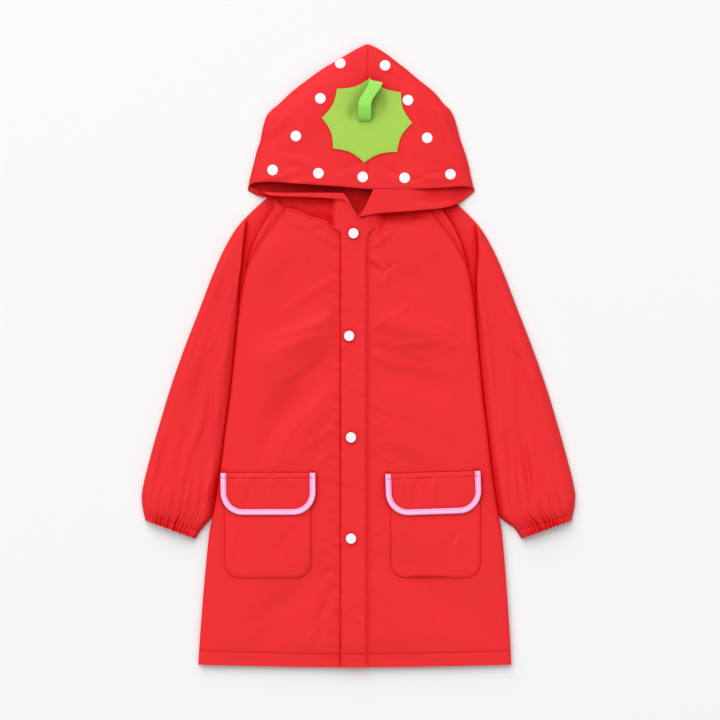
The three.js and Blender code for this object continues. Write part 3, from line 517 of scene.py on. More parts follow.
def hex_colour(text):
    """Linear colour of an sRGB hex value."""
    channels = [int(text[i:i + 2], 16) / 255 for i in (1, 3, 5)]
    return tuple(c / 12.92 if c <= 0.04045 else ((c + 0.055) / 1.055) ** 2.4 for c in channels)


# Curves and tables

def lerp(a, b, t):
    return a + (b - a) * t


def smooth(t):
    c = np.clip(t, 0, 1)
    return c * c * (3 - 2 * c)


def quarter_round(distance, radius):
    left = 1 - np.clip(distance / radius, 0, 1)
    return np.sqrt(np.maximum(0, 1 - left * left))


def through(knots, values, at):
    """Value on the smooth curve through a table, which never overshoots it."""
    knots, values = np.asarray(knots, float), np.asarray(values, float)
    step = np.diff(knots)
    slope = np.diff(values) / step
    same = slope[:-1] * slope[1:] > 0
    tangent = np.zeros_like(values)
    tangent[0], tangent[-1] = slope[0], slope[-1]
    total = np.where(same, slope[:-1] + slope[1:], 1)
    tangent[1:-1] = np.where(same, 2 * slope[:-1] * slope[1:] / total, 0)
    at = np.clip(np.asarray(at, float), knots[0], knots[-1])
    i = np.clip(np.searchsorted(knots, at) - 1, 0, len(knots) - 2)
    t = (at - knots[i]) / step[i]
    start = values[i] * (1 + 2 * t) * (1 - t) ** 2 + tangent[i] * step[i] * t * (1 - t) ** 2
    end = values[i + 1] * t * t * (3 - 2 * t) + tangent[i + 1] * step[i] * t * t * (t - 1)
    return start + end


def relief(x, y, creases, depth=1.0):
    """Sum of soft troughs and ridges. Each crease has a shallow hollow along one side, as pulled cloth has."""
    total = np.zeros(np.broadcast(x, y).shape)
    for x0, y0, x1, y1, bow, width, height in creases:
        dx, dy = x1 - x0, y1 - y0
        length = math.hypot(dx, dy)
        along = ((x - x0) * dx + (y - y0) * dy) / length ** 2
        bowed = bow * 4 * np.clip(along * (1 - along), 0, 1)
        aside = ((x - x0) * dy - (y - y0) * dx) / length - bowed
        taper = smooth((along + 0.08) / 0.36) * smooth((1.08 - along) / 0.42)
        hollow = 0.4 * np.exp(-((aside - 1.9 * width) / (1.3 * width)) ** 2)
        total += depth * height * taper * (np.exp(-(aside / width) ** 2) - hollow)
    return total


def moved(creases, right=0.0, up=0.0):
    """A table of creases set beside another place."""
    return [(x0 + right, y0 + up, x1 + right, y1 + up, *shape) for x0, y0, x1, y1, *shape in creases]


def ripple(x, y, seed, spacing):
    """Small uneven swell of cloth that was folded once, from -1 to 1: crossed waves of nearly one length."""
    rng = np.random.default_rng(seed)
    total = 0
    for _ in range(7):
        angle = rng.uniform(0, math.pi)
        wave = spacing * rng.uniform(0.7, 1.5)
        phase = rng.uniform(0, 2 * math.pi)
        total = total + np.sin(2 * math.pi * (x * math.cos(angle) + y * math.sin(angle)) / wave + phase)
    return total / 4.5


# Heights of the cloth

def midline_x(y):
    return lerp(MIDLINE_HEM_X, MIDLINE_NECK_X, np.clip((y - HEM_Y) / (RAGLAN_TOP_Y - HEM_Y), 0, 1))


def half_width(y):
    return through(SIDE_Y, HALF, y)


def plain_front(x, y):
    """Top of the single cloth of the fronts, with its large folds alone."""
    across = np.clip(np.abs(x - midline_x(y)) / half_width(y), 0, 1)
    folds = 0
    for x0, y0, x1, y1, width, height in FRONT_FOLDS:
        dx, dy = x1 - x0, y1 - y0
        along = np.clip(((x - x0) * dx + (y - y0) * dy) / (dx * dx + dy * dy), 0, 1)
        distance = np.hypot(x - x0 - along * dx, y - y0 - along * dy)
        folds = folds + height * np.exp(-(distance / width) ** 2)
    off_placket = smooth((np.abs(x - PLACKET_MIDDLE_X) - PLACKET_CALM) / PLACKET_CALM)
    crown = CROWN * (1 - HEM_SINK * smooth((HEM_SINK_Y - y) / (HEM_SINK_Y - HEM_Y)))
    return SEAM_HEIGHT + crown * (1 - across ** 3) + folds * (1 - across ** 6) * off_placket


def pucker(x, y):
    """Short cross creases that the placket's stitching draws up."""
    near = np.exp(-((x - PLACKET_STITCH_X + 1) / 9) ** 2) + 0.5 * np.exp(-((x + 8) / 12) ** 2)
    swell = 0.6 + 0.4 * np.sin(y / 31) * np.sin(y / 13 + 1)
    slant = y + 0.35 * (x - PLACKET_STITCH_X)
    waves = sum(height * np.sin(slant / length + phase) for height, length, phase in PUCKER_WAVES)
    beside = np.exp(-((x - PLACKET_EDGE_X + 6) / 11) ** 2) * (x < PLACKET_EDGE_X + 8)
    drawn = np.sin(slant / 2.4 + np.sin(y / 17)) + 0.8 * np.sin(slant / 4.1 + 2)
    return PUCKER_HEIGHT * near * swell * waves + DRAG_HEIGHT * beside * (1 - 0.5 * swell) * drawn


def front_cloth(x, y):
    """Top of the fronts with every crease."""
    across = np.clip(np.abs(x - midline_x(y)) / half_width(y), 0, 1)
    creased = relief(x, y, FRONT_CREASES, bpy.context.scene.raincoat.crease_depth)
    near_hem = smooth((HEM_PINCH_Y - y) / 24)
    hem_pinch = -0.5 * np.exp(-((y - hem_line_y(x)) / 1.6) ** 2) + 0.25 * ripple(x, y, 4, 26)
    below_lip = smooth((y - through(*NECK_LEFT, x) + NECK_HOLLOW_RUN) / NECK_HOLLOW_RUN)
    beside_neck = smooth((x - NECK_HOLLOW_FROM_X) / 14) * smooth((NECK_HOLLOW_TO_X - x) / 26)
    hollow = NECK_HOLLOW * below_lip * beside_neck
    swell = 0.22 * ripple(x, y, 3, 70) * (1 - 0.6 * near_hem)
    sewn_flat = 1 - across ** 10
    return plain_front(x, y) + sewn_flat * (creased + swell) + pucker(x, y) + near_hem * hem_pinch - hollow


def hem_line_y(x):
    """The hem's stitch line, which follows the lower edge."""
    share = 1 - np.clip(np.abs(x - midline_x(HEM_Y)) / HALF[0], 0, 1)
    return HEM_Y + HEM_STITCH_UP + (MID_Y[0] - HEM_Y) * np.sin(share * math.pi / 2)


def hood_row(y):
    """Half width, middle and height of the hood at y."""
    return [through(HOOD_Y, column, y) for column in (HOOD_HALF, HOOD_MIDDLE, HOOD_HEIGHT)]


def hood_relief(x, y, across):
    """Creases of the hood, its dents beside the strap and the groove of its middle seam."""
    creased = relief(x, y, HOOD_CREASES, bpy.context.scene.raincoat.crease_depth)
    dents = sum(depth * np.exp(-(((x - CALYX_X - right) / 6) ** 2 + ((y - dent_y) / 10) ** 2))
                for right, dent_y, depth in HOOD_DENTS)
    from_patch = np.hypot((x - CALYX_X) / CALYX_RADIUS_X, (y - CALYX_Y) / CALYX_RADIUS_Y)
    shown = smooth((y - 190) / 30) * smooth((from_patch - 0.8) / 0.2)
    groove = 0.7 * np.exp(-((x - HOOD_SEAM_X) / 1.4) ** 2) * shown
    brim_pinch = 0.3 * ripple(x, y, 9, 24) * smooth((232 - y) / 20)
    return (creased - dents + 0.2 * ripple(x, y, 8, 60) + brim_pinch) * (1 - across ** 10) - groove


def crown_cloth(x, y):
    """Top of the hood with every crease."""
    half, middle, height = hood_row(y)
    across = np.clip(np.abs(x - middle) / half, 0, 1)
    plain = HOOD_TIP + (height - HOOD_TIP) * np.sqrt(1 - across ** HOOD_SHAPE)
    return plain + hood_relief(x, y, across)


# Meshes

def mesh_object(name, parts, material, smooth_angle=50):
    """One object from several lists of points (mm) and faces, smooth but at edges sharper than the angle."""
    points, faces = [], []
    for part_points, part_faces in parts:
        start = len(points)
        points += [(x * MM, y * MM, z * MM) for x, y, z in part_points]
        faces += [tuple(i + start for i in face) for face in part_faces]
    mesh = bpy.data.meshes.new(name)
    mesh.from_pydata(points, [], faces)
    work = bmesh.new()
    work.from_mesh(mesh)
    bmesh.ops.recalc_face_normals(work, faces=work.faces)
    work.to_mesh(mesh)
    work.free()
    mesh.polygons.foreach_set("use_smooth", [True] * len(mesh.polygons))
    mesh.set_sharp_from_angle(angle=math.radians(smooth_angle))
    mesh.materials.append(material)
    made = bpy.data.objects.new(name, mesh)
    bpy.context.scene.collection.objects.link(made)
    return made


def grid_faces(rows, columns, start=0):
    """Four-sided faces between the rows and columns of a grid of points."""
    faces = []
    for k in range(rows - 1):
        for j in range(columns - 1):
            a = start + k * columns + j
            faces.append((a, a + columns, a + columns + 1, a + 1))
    return faces


def rim_faces(rows, columns, other):
    """Faces that join the border of one grid to that of its copy, which starts at point number other."""
    border = list(range(columns))
    border += [k * columns + columns - 1 for k in range(1, rows)]
    border += [(rows - 1) * columns + j for j in range(columns - 2, -1, -1)]
    border += [k * columns for k in range(rows - 2, 0, -1)]
    loop = border + border[:1]
    return [(a, b, b + other, a + other) for a, b in zip(loop, loop[1:])]


def closed_grid(outer, inner):
    """Points and faces of the solid between two grids."""
    rows, columns = outer.shape[:2]
    count = rows * columns
    points = np.concatenate([outer.reshape(-1, 3), inner.reshape(-1, 3)]).tolist()
    under = [face[::-1] for face in grid_faces(rows, columns, count)]
    return points, grid_faces(rows, columns) + under + rim_faces(rows, columns, count)


def shell(outer, thickness):
    """A grid of points thickened to the side its rows and columns turn away from."""
    down = np.gradient(outer, axis=0)
    along = np.gradient(outer, axis=1)
    normal = np.cross(down, along)
    normal /= np.maximum(np.linalg.norm(normal, axis=2, keepdims=True), 1e-9)
    return closed_grid(outer, outer - normal * thickness)


def under_sheet(outer, thickness):
    """A sheet thickened straight down."""
    inner = outer.copy()
    inner[..., 2] -= thickness
    return closed_grid(outer, inner)


def disc(top, thickness):
    """A sheet of rings of points, from the middle outwards, thickened straight down."""
    rings, steps = top.shape[:2]
    count = rings * steps
    upper = top.reshape(-1, 3)
    points = np.concatenate([upper, upper - (0, 0, thickness)]).tolist()
    faces = [tuple(range(steps)), tuple(range(count + steps - 1, count - 1, -1))]
    last = count - steps
    for i in range(steps):
        j = (i + 1) % steps
        for a in range(0, last, steps):
            b = a + steps
            faces.append((a + i, a + j, b + j, b + i))
            faces.append((count + a + i, count + b + i, count + b + j, count + a + j))
        faces.append((last + i, last + j, count + last + j, count + last + i))
    return points, faces


def stack(x, y, z):
    return np.stack(np.broadcast_arrays(x, y, z), axis=-1).astype(float)


def spread(start, end, step, fine=(), fine_step=0.6, reach=1.8):
    """Places from start to end about a step apart, closer round the fine ones."""
    places = list(np.linspace(start, end, max(2, int(abs(end - start) / step) + 1)))
    for middle in fine:
        near = np.arange(middle - reach, middle + reach + 0.01, fine_step)
        low, high = min(start, end), max(start, end)
        places += [p for p in near if low < p < high]
    places = sorted(set(np.round(places, 2)))
    kept = [places[0]]
    for place in places[1:-1]:
        if place - kept[-1] > fine_step * 0.6 and places[-1] - place > fine_step * 0.6:
            kept.append(place)
    kept.append(places[-1])
    return np.array(kept if start < end else kept[::-1])


def need(*nodes):
    """Stops the script where the frame lacks a node."""
    missing = [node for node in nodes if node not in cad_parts]
    if missing:
        raise RuntimeError(f"the frame has no node {missing}")


def settle(piece, slot, *nodes):
    """Puts a piece on the coat's one body, in place of its nodes; slot is not used."""
    need(*nodes)
    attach(piece, "root")
    if nodes:
        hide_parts(*nodes)
    return piece


# Stitching

def stitch_line(path, pitch, length, width, height):
    """Round-ended stitches along a path of points (mm), a pitch apart."""
    path = np.asarray(path, float)
    steps = np.linalg.norm(np.diff(path, axis=0), axis=1)
    at = np.concatenate([[0], np.cumsum(steps)])
    # Section of the thread, aside and up, and its narrower ends
    section = [(width / 2, 0.15), (width / 4, height), (-width / 4, height), (-width / 2, 0.15), (0, -0.3)]
    rings = [(0.0, 0.35), (0.16, 1.0), (0.84, 1.0), (1.0, 0.35)]
    sides = len(section)
    parts = []
    for start in np.arange(pitch * 0.3, at[-1] - length, pitch):
        ends = [np.array([np.interp(s, at, path[:, axis]) for axis in range(3)])
                for s in (start, start + length)]
        line = ends[1] - ends[0]
        line /= np.linalg.norm(line)
        side = np.cross((0, 0, 1), line)
        side /= max(np.linalg.norm(side), 1e-6)
        up = np.cross(line, side)
        points, faces = [], []
        for share, scale in rings:
            middle = lerp(ends[0], ends[1], share)
            points += [tuple(middle + side * a * scale + up * b * scale) for a, b in section]
        for k in range(0, len(points) - sides, sides):
            for i in range(sides):
                j = (i + 1) % sides
                faces.append((k + i, k + j, k + sides + j, k + sides + i))
        faces.append(tuple(range(sides))[::-1])
        faces.append(tuple(range(len(points) - sides, len(points))))
        parts.append((points, faces))
    return parts


def sew(name, paths, material, slot):
    """One object of all the stitches along several paths."""
    sizes = bpy.context.scene.raincoat
    pitch, width = sizes.stitch_pitch / MM, sizes.thread_width / MM
    parts = []
    for path in paths:
        parts += stitch_line(path, pitch, pitch * 0.8, width, width * 0.45)
    if not parts:
        raise RuntimeError(f"{name} has no stitches")
    return settle(mesh_object(name, parts, material), slot)


def on_surface(xs, ys, surface, lift=0.05):
    return stack(xs, ys, surface(xs, ys) + lift)


# Materials

def new_material(name):
    material = bpy.data.materials.new(name)
    material.use_nodes = True
    material.node_tree.nodes.clear()
    return material


def node(tree, kind, settings=None, links=None):
    """Adds a node. settings are its properties or input values, links the outputs that feed its inputs."""
    made = tree.nodes.new(kind)
    for key, value in (settings or {}).items():
        if isinstance(key, int) or key in made.inputs:
            made.inputs[key].default_value = value
        else:
            setattr(made, key, value)
    for key, source in (links or {}).items():
        tree.links.new(source, made.inputs[key])
    return made


def place_in_mm(tree):
    """Object coordinates in millimetres."""
    place = node(tree, "ShaderNodeTexCoord")
    return node(tree, "ShaderNodeVectorMath", {"operation": "SCALE", "Scale": 1 / MM},
                {0: place.outputs["Object"]}).outputs[0]


# Painted shade in folds, hollows and under other parts: how far the occlusion test reaches, and the shares of
# open space between which the painted shade colour gives way to the cloth's own
PAINTED_SHADE_REACH = 40
PAINTED_SHADE_FULL, PAINTED_SHADE_NONE = 0.74, 0.985

TAFFETA = "coated_polyester_taffeta"
THREAD = "spun_polyester_thread"
RED_SHINE = (1, 0.3, 0.3)
# Woven cloths: colour as a hex value or one of the panel's, painted shade colour for folds and hollows, spacing
# of the threads, roughness
CLOTHS = {
    # Polyester taffeta with a polyurethane coat: close plain weave, a satin shine and soft crushed creases. The
    # threads are about 0.12 mm apart and are drawn 0.5 mm apart, the finest that shows.
    TAFFETA: ("coat_colour", "#D00000", 0.5, 0.42, {
        "specular": 0.24, "weave": 0.2, "crinkle": 0.3, "crinkle_size": 12, "shine": RED_SHINE}),
    # Woven polyester binding: matt, with cross ribs 0.6 mm apart.
    "woven_polyester_tape": ("tape_colour", "#E66CC8", 0.6, 0.62, {
        "sheen": 0.2, "weave": 0.6, "crinkle": 0.1, "crinkle_size": 5}),
    # Uncoated plain-weave polyester: matt, drawn with threads 0.6 mm apart.
    "plain_weave_polyester": ("leaf_colour", "#7FA62E", 0.6, 0.6, {
        "sheen": 0.15, "weave": 0.4, "crinkle": 0.25, "crinkle_size": 14}),
    # Grosgrain strap: fine close ribs and a slight sheen.
    "grosgrain_strap": ("strap_colour", "#5DBB2C", 0.7, 0.5, {"sheen": 0.25, "weave": 0.7}),
    # Spun polyester thread, a shade deeper than the cloth it is drawn into.
    THREAD: ("thread_colour", "#A80004", 0.4, 0.55, {"specular": 0.3, "weave": 0.5, "shine": RED_SHINE}),
    # The same thread in the tape's own colour.
    "tape_coloured_thread": ("#EE86D2", "#C864AE", 0.4, 0.6, {"sheen": 0.1, "weave": 0.5}),
    # Plastisol screen print: white, smooth and slightly rubbery, over the cloth's grain.
    "white_screen_print": ("#F8F4F8", "#D8CCD4", 0.5, 0.5, {"weave": 0.1, "crinkle": 0.1, "crinkle_size": 6}),
}


def woven(name):
    """The woven material of that name, made the first time it is asked for."""
    if name in bpy.data.materials:
        return bpy.data.materials[name]
    colour, painted_shade_colour, thread, roughness, others = CLOTHS[name]
    own = hex_colour(colour) if colour[0] == "#" else tuple(getattr(bpy.context.scene.raincoat, colour))
    return woven_material(name, own, hex_colour(painted_shade_colour), thread, roughness, **others)


def woven_material(name, colour, painted_shade_colour, thread, roughness, specular=0.5, sheen=0.0, weave=0.25,
                   crinkle=0.0, crinkle_size=9.0, shine=(1, 1, 1)):
    """Woven cloth that varies a little, with shade painted into its folds and hollows as a deeper colour, and
    with threads and soft crinkles.
    """
    material = new_material(name)
    tree = material.node_tree
    place = place_in_mm(tree)
    # Painted shade: where the occlusion test finds the cloth hemmed in, the colour goes over to the painted
    # shade colour
    fold = node(tree, "ShaderNodeAmbientOcclusion", {"samples": 8, "Distance": PAINTED_SHADE_REACH * MM})
    shade = node(tree, "ShaderNodeMapRange",
                 {"From Min": PAINTED_SHADE_FULL, "From Max": PAINTED_SHADE_NONE, "To Min": 0.0, "To Max": 1.0},
                 {"Value": fold.outputs["AO"]})
    base = node(tree, "ShaderNodeMix", {"data_type": "RGBA", "A": (*painted_shade_colour, 1), "B": (*colour, 1)},
                {"Factor": shade.outputs[0]})
    mottle = node(tree, "ShaderNodeTexNoise", {"Scale": 1 / 45, "Detail": 3.0, "Roughness": 0.55},
                  {"Vector": place})
    patch = node(tree, "ShaderNodeMapRange",
                 {"From Min": 0.35, "From Max": 0.75, "To Min": 0.0, "To Max": 0.35},
                 {"Value": mottle.outputs["Fac"]})
    darker = tuple(c * 0.9 for c in colour)
    varied = node(tree, "ShaderNodeMix", {"data_type": "RGBA", "B": (*darker, 1)},
                  {"A": base.outputs["Result"], "Factor": patch.outputs[0]})
    along = node(tree, "ShaderNodeSeparateXYZ", links={"Vector": place})
    threads = []
    for axis in ("X", "Y"):
        angle = node(tree, "ShaderNodeMath", {"operation": "MULTIPLY", 1: 2 * math.pi / thread},
                     {0: along.outputs[axis]})
        threads.append(node(tree, "ShaderNodeMath", {"operation": "SINE"}, {0: angle.outputs[0]}))
    crossed = node(tree, "ShaderNodeMath", {"operation": "MULTIPLY"},
                   {0: threads[0].outputs[0], 1: threads[1].outputs[0]})
    weave_bump = node(tree, "ShaderNodeBump", {"Strength": weave, "Distance": thread * 0.12 * MM},
                      {"Height": crossed.outputs[0]})
    wrinkles = node(tree, "ShaderNodeTexNoise",
                    {"Scale": 1 / crinkle_size, "Detail": 4.0, "Roughness": 0.5, "Distortion": 0.6},
                    {"Vector": place})
    crinkle_bump = node(tree, "ShaderNodeBump", {"Strength": crinkle, "Distance": 0.5 * MM},
                        {"Height": wrinkles.outputs["Fac"], "Normal": weave_bump.outputs[0]})
    gloss = node(tree, "ShaderNodeMapRange",
                 {"From Min": 0.3, "From Max": 0.7, "To Min": roughness - 0.05, "To Max": roughness + 0.06},
                 {"Value": wrinkles.outputs["Fac"]})
    shader = node(tree, "ShaderNodeBsdfPrincipled",
                  {"Specular IOR Level": specular, "Specular Tint": (*shine, 1), "Sheen Weight": sheen,
                   "Sheen Roughness": 0.4, "IOR": 1.5},
                  {"Base Color": varied.outputs["Result"], "Roughness": gloss.outputs[0],
                   "Normal": crinkle_bump.outputs[0]})
    node(tree, "ShaderNodeOutputMaterial", links={"Surface": shader.outputs[0]})
    return material


def moulded_acetal():
    # Injection-moulded acetal: glossy white, a little translucent, with the mould's faint flow.
    material = new_material("moulded_white_acetal")
    tree = material.node_tree
    place = place_in_mm(tree)
    flow = node(tree, "ShaderNodeTexNoise", {"Scale": 0.6, "Detail": 2.0}, {"Vector": place})
    tint = node(tree, "ShaderNodeMix", {"data_type": "RGBA", "A": (*hex_colour("#FBFAFD"), 1),
                                        "B": (*hex_colour("#EDEAF2"), 1)}, {"Factor": flow.outputs["Fac"]})
    dull = node(tree, "ShaderNodeMapRange", {"To Min": 0.2, "To Max": 0.32}, {"Value": flow.outputs["Fac"]})
    shader = node(tree, "ShaderNodeBsdfPrincipled",
                  {"IOR": 1.48, "Subsurface Weight": 0.05, "Subsurface Scale": 0.001},
                  {"Base Color": tint.outputs["Result"], "Roughness": dull.outputs[0]})
    node(tree, "ShaderNodeOutputMaterial", links={"Surface": shader.outputs[0]})
    return material


def painted_table():
    # Matt white paint on a flat board, with the faintest unevenness.
    material = new_material("matt_white_paint")
    tree = material.node_tree
    place = place_in_mm(tree)
    grain = node(tree, "ShaderNodeTexNoise", {"Scale": 0.4, "Detail": 3.0}, {"Vector": place})
    bump = node(tree, "ShaderNodeBump", {"Strength": 0.04, "Distance": 0.1 * MM},
                {"Height": grain.outputs["Fac"]})
    shader = node(tree, "ShaderNodeBsdfPrincipled",
                  {"Base Color": (*bpy.context.scene.raincoat.table_colour, 1), "Roughness": 0.9},
                  {"Normal": bump.outputs[0]})
    node(tree, "ShaderNodeOutputMaterial", links={"Surface": shader.outputs[0]})
    return material


# Body

def front_grid(side, rows, columns, front_x, neck):
    """x and y of one front. columns gives shares of the way from the side seam to the front edge."""
    index = np.arange(len(SIDE_Y))
    side_y = through(index, SIDE_Y, rows)[:, None]
    mid_y = through(index, MID_Y, rows)[:, None]
    side_x = midline_x(side_y) + side * half_width(side_y)
    top_x = midline_x(SIDE_Y[-1]) + side * HALF[-1]
    share = columns(np.abs(side_x - front_x))
    x = lerp(side_x, front_x, share)
    neck_x = lerp(top_x, front_x, share)
    bulge = through(neck[0], neck[1], neck_x) - lerp(SIDE_Y[-1], MID_Y[-1], share)
    rise = (rows / (len(SIDE_Y) - 1))[:, None]
    near_neck = smooth((rise - NECK_CURVE_START) / (1 - NECK_CURVE_START))
    hem_drop = np.clip(1 - rows, 0, 1)[:, None] * (MID_Y[0] - HEM_Y) * (np.sin(share * math.pi / 2) - share)
    return x, lerp(side_y, mid_y, share) + bulge * near_neck + hem_drop


def body_rows():
    """Row numbers of the body table, close enough for its creases and closer at the hem's stitch line."""
    ys = spread(SIDE_Y[0], SIDE_Y[-1], 2.5, fine=(HEM_Y + HEM_STITCH_UP, HEM_Y + 1.5))
    return through(SIDE_Y, np.arange(len(SIDE_Y)), ys)


def side_roll(x, y):
    """How far the front turns down at its side seam."""
    inside = half_width(y) - np.abs(x - midline_x(y))
    below_arms = smooth((SIDE_Y[UNDERARM_ROW] + 6 - y) / 12)
    return lerp(0.5, 1.3, below_arms) * (1 - quarter_round(inside, lerp(3, 6, below_arms)))


def right_front_points():
    def columns(width):
        return 1 - np.linspace(0, 1, 84)[None, :] + 0 * width
    x, y = front_grid(RIGHT, body_rows(), columns, UNDERLAP_X, NECK_RIGHT)
    return stack(x, y, front_cloth(x, y) - side_roll(x, y))


def on_placket(x):
    """1 where the left front is doubled, falling softly to 0 past the stitch line."""
    return 1 - smooth((x - PLACKET_STITCH_X + 0.5) / PLACKET_FALL)


def placket_lift(x):
    """How far the doubled placket stands above the single cloth, dented along its stitch line."""
    dent = 0.3 * np.exp(-((x - PLACKET_STITCH_X) / 1.1) ** 2)
    edge = 0.9 * (1 - quarter_round(x - PLACKET_EDGE_X, 1.4))
    return (SEAM_GAP + PLACKET_THICK) * on_placket(x) - dent - edge


def left_front_points():
    band = spread(0, PLACKET_STITCH_X - PLACKET_EDGE_X + PLACKET_FALL, 2.4,
                  fine=(1, PLACKET_STITCH_X - PLACKET_EDGE_X), fine_step=0.45, reach=1.6)

    def columns(width):
        rest = np.linspace(0, 1, 68)[1:]
        distance = np.concatenate([np.broadcast_to(band, (len(width), len(band))),
                                   band[-1] + rest[None, :] * (width - band[-1])], axis=1)
        return 1 - distance / width
    x, y = front_grid(LEFT, body_rows(), columns, PLACKET_EDGE_X, NECK_LEFT)
    return stack(x, y, front_cloth(x, y) - side_roll(x, y) + placket_lift(x))


def left_front_shell(thickness):
    outer = left_front_points()
    inner = outer.copy()
    rounded = 1.1 * (1 - quarter_round(outer[..., 0] - PLACKET_EDGE_X, 1.4))
    inner[..., 2] -= lerp(thickness, 1.5, on_placket(outer[..., 0])) - rounded
    return closed_grid(outer, inner)


def back_shell():
    """The back: flat on the table, its edges raised at the side seams."""
    rows = np.linspace(0, len(SIDE_Y) - 1, 110)
    index = np.arange(len(SIDE_Y))
    side_y = through(index, SIDE_Y, rows)[:, None]
    half = half_width(side_y)
    above_arms = smooth((rows - UNDERARM_ROW) * 3)[:, None]
    mid_y = lerp(through(index, MID_Y, rows)[:, None], side_y, above_arms)
    mid_y = lerp(mid_y, BACK_NECK_Y, smooth(rows - len(SIDE_Y) + 2)[:, None])
    share = np.sin(np.linspace(-1, 1, 71) * math.pi / 2)[None, :]
    x = midline_x(side_y) + share * half
    y = lerp(mid_y, side_y, np.abs(share))
    inside = half - np.abs(share) * half
    lift = 1 - smooth((inside - BACK_LIFT_FLAT) / (BACK_LIFT_WIDTH - BACK_LIFT_FLAT))
    creased = np.maximum(0, relief(x, y, BACK_CREASES)) * smooth(inside / 20)
    floor = lift * BACK_EDGE_LIFT * (1 - above_arms) + creased
    return closed_grid(stack(x, y, floor + CLOTH), stack(x, y, floor))


# Sleeves

def sleeve_table():
    """Each station's inner end, outer end, height and gathers, as columns."""
    rows = []
    for row, inner_y, tuck, inner_x, outer_x, outer_y, height, gather in SLEEVE_STATIONS:
        if row is not None:
            edge_x, edge_y = HALF[row] - SEAM_OVERLAP, SIDE_Y[row] - SEAM_OVERLAP * 0.6
        else:
            edge_x, edge_y = half_width(inner_y) - tuck if inner_x is None else inner_x, inner_y
        leaning = row is not None or inner_x is None
        rows.append((edge_x, edge_y, float(leaning), outer_x, outer_y, height, gather))
    return np.array(rows).T


def cuff_gathers(side, across, to_cuff):
    """Height of the cuff's gathers, at shares across the sleeve and distances up from its edge."""
    swing = 0
    for middle, half, swell, reach in CUFF_GATHERS[side]:
        drift = across - middle + (middle - 0.45) * 0.006 * to_cuff
        wider = half * (1 + to_cuff / 60)
        wave = np.exp(-(drift / wider) ** 2) - 0.45 * np.exp(-((drift - 0.04) / wider) ** 2)
        swing = swing + swell * wave * np.exp(-(to_cuff / reach) ** 2)
    return swing


def sleeve_surface(side, station, across, on_top=True):
    """Points of the sleeve's outer face: station numbers down, shares across from the inner end."""
    index = np.arange(len(SLEEVE_STATIONS))
    edge_x, edge_y, leaning, outer_x, outer_y, height, gather = [
        through(index, column, station) for column in sleeve_table()]
    inner = np.stack([side * edge_x + midline_x(edge_y) * leaning, edge_y])
    outer = np.stack([side * outer_x, outer_y])
    width = np.hypot(*(outer - inner))
    x, y = lerp(inner, outer, across)
    from_inner, from_outer = across * width, (1 - across) * width
    closed = smooth((station - CLOSED_FROM + 1.2) / 1.2)
    tip = UNDERARM_TIP - SEAM_GAP / 2
    if not on_top:
        outer_curl = SLEEVE_TIP * (1 - quarter_round(from_outer, FLOOR_ROUND))
        inner_curl = closed * tip * (1 - quarter_round(from_inner, FLOOR_ROUND))
        lifted = 0.5 * gather * (1 + np.sin(across * 2 * math.pi * 13)) * np.sin(math.pi * across)
        return stack(x, y, outer_curl + inner_curl + lifted)
    # The valley beside the body and the arm's own fold beyond it
    beyond = side * (x - midline_x(y)) - half_width(y)
    fold_y, fold_at, fold_rise = ARM_FOLD[side]
    from_fold = beyond - through(fold_y, fold_at, y)
    past_fold = from_fold / through(fold_y, fold_rise, y)
    up = lerp(smooth(past_fold), quarter_round(past_fold, 1), 0.6)
    up = up * smooth((ARM_FOLD_TOP_Y[side] - y) / 9)
    valley = lerp(VALLEY_LOW_Z, VALLEY_TOP_Z, smooth((y - 60) / 60))
    ridge = lerp(valley, height, up)
    # Held up by the seam's allowance where it is open to the body, rounded where it is a tube
    strip = 1 - smooth((beyond - through(*SEAM_STRIP, y)) / 2.6)
    under_lip = smooth((y - RAGLAN_TOP_Y - 1) / 12) * (side == LEFT)
    strip_z = SEAM_HEIGHT + 0.2 - 4 * under_lip
    open_top = lerp(ridge, strip_z, strip) - 1.2 * (1 - smooth(from_inner / 3))
    lip = tip + SEAM_GAP
    closed_top = lerp(lip, ridge, quarter_round(from_inner, FLOOR_ROUND))
    at_cuff = smooth((station - CUFF_START) / 1.4)
    closed_top = lerp(closed_top, lerp(lip, height, quarter_round(from_inner, 12)), at_cuff)
    z = lerp(open_top, closed_top, closed)
    # Creases, and the gathers that the elastic draws up
    creased = relief(x, y, SLEEVE_CREASES[side], bpy.context.scene.raincoat.crease_depth)
    creased = creased * smooth((17 - station) / 2) + 0.22 * ripple(x, y, 12 + side, 55)
    to_cuff = np.hypot(outer_x - CUFF_OUTER[0], outer_y - CUFF_OUTER[1]) * 0.75
    swing = cuff_gathers(side, across, to_cuff)
    at_stitch = np.exp(-((station - CUFF_STITCH) / 0.35) ** 2)
    groove = 0.25 * np.exp(-((station - CUFF_STITCH) / 0.3) ** 2) * quarter_round(from_outer, 8)
    z = z + smooth(from_fold / 12) * quarter_round(from_outer, 10) * creased
    z = z + swing * (1.25 - 0.3 * at_stitch) * np.sin(math.pi * across) ** 0.5 - groove
    z = lerp(SLEEVE_TIP, z, quarter_round(from_outer, np.minimum(FOLD_ROUND, width / 3)))
    scallop = 0.8 * swing * smooth((station - CUFF_STITCH - 0.3) / 0.7)
    return stack(x, y + scallop, z)


def sleeve_shell(side, thickness):
    """The sleeve: over its top from the inner end to the outer fold, and back underneath."""
    stations = np.concatenate([
        np.linspace(0, 5, 60)[:-1], np.linspace(5, 12, 100)[:-1], np.linspace(12, 17, 66)])
    top = 0.5 - 0.5 * np.cos(np.linspace(0, 1, 96) * math.pi)
    top = lerp(top, np.linspace(0, 1, 96), 0.55)
    under = 0.5 - 0.5 * np.cos(np.linspace(1, 0, 48) * math.pi)
    grid = np.concatenate([sleeve_surface(side, stations[:, None], top[None, :]),
                           sleeve_surface(side, stations[:, None], under[None, 1:], on_top=False)], axis=1)
    if side == RIGHT:
        grid = grid[:, ::-1]
    return shell(grid, thickness)


# Hood

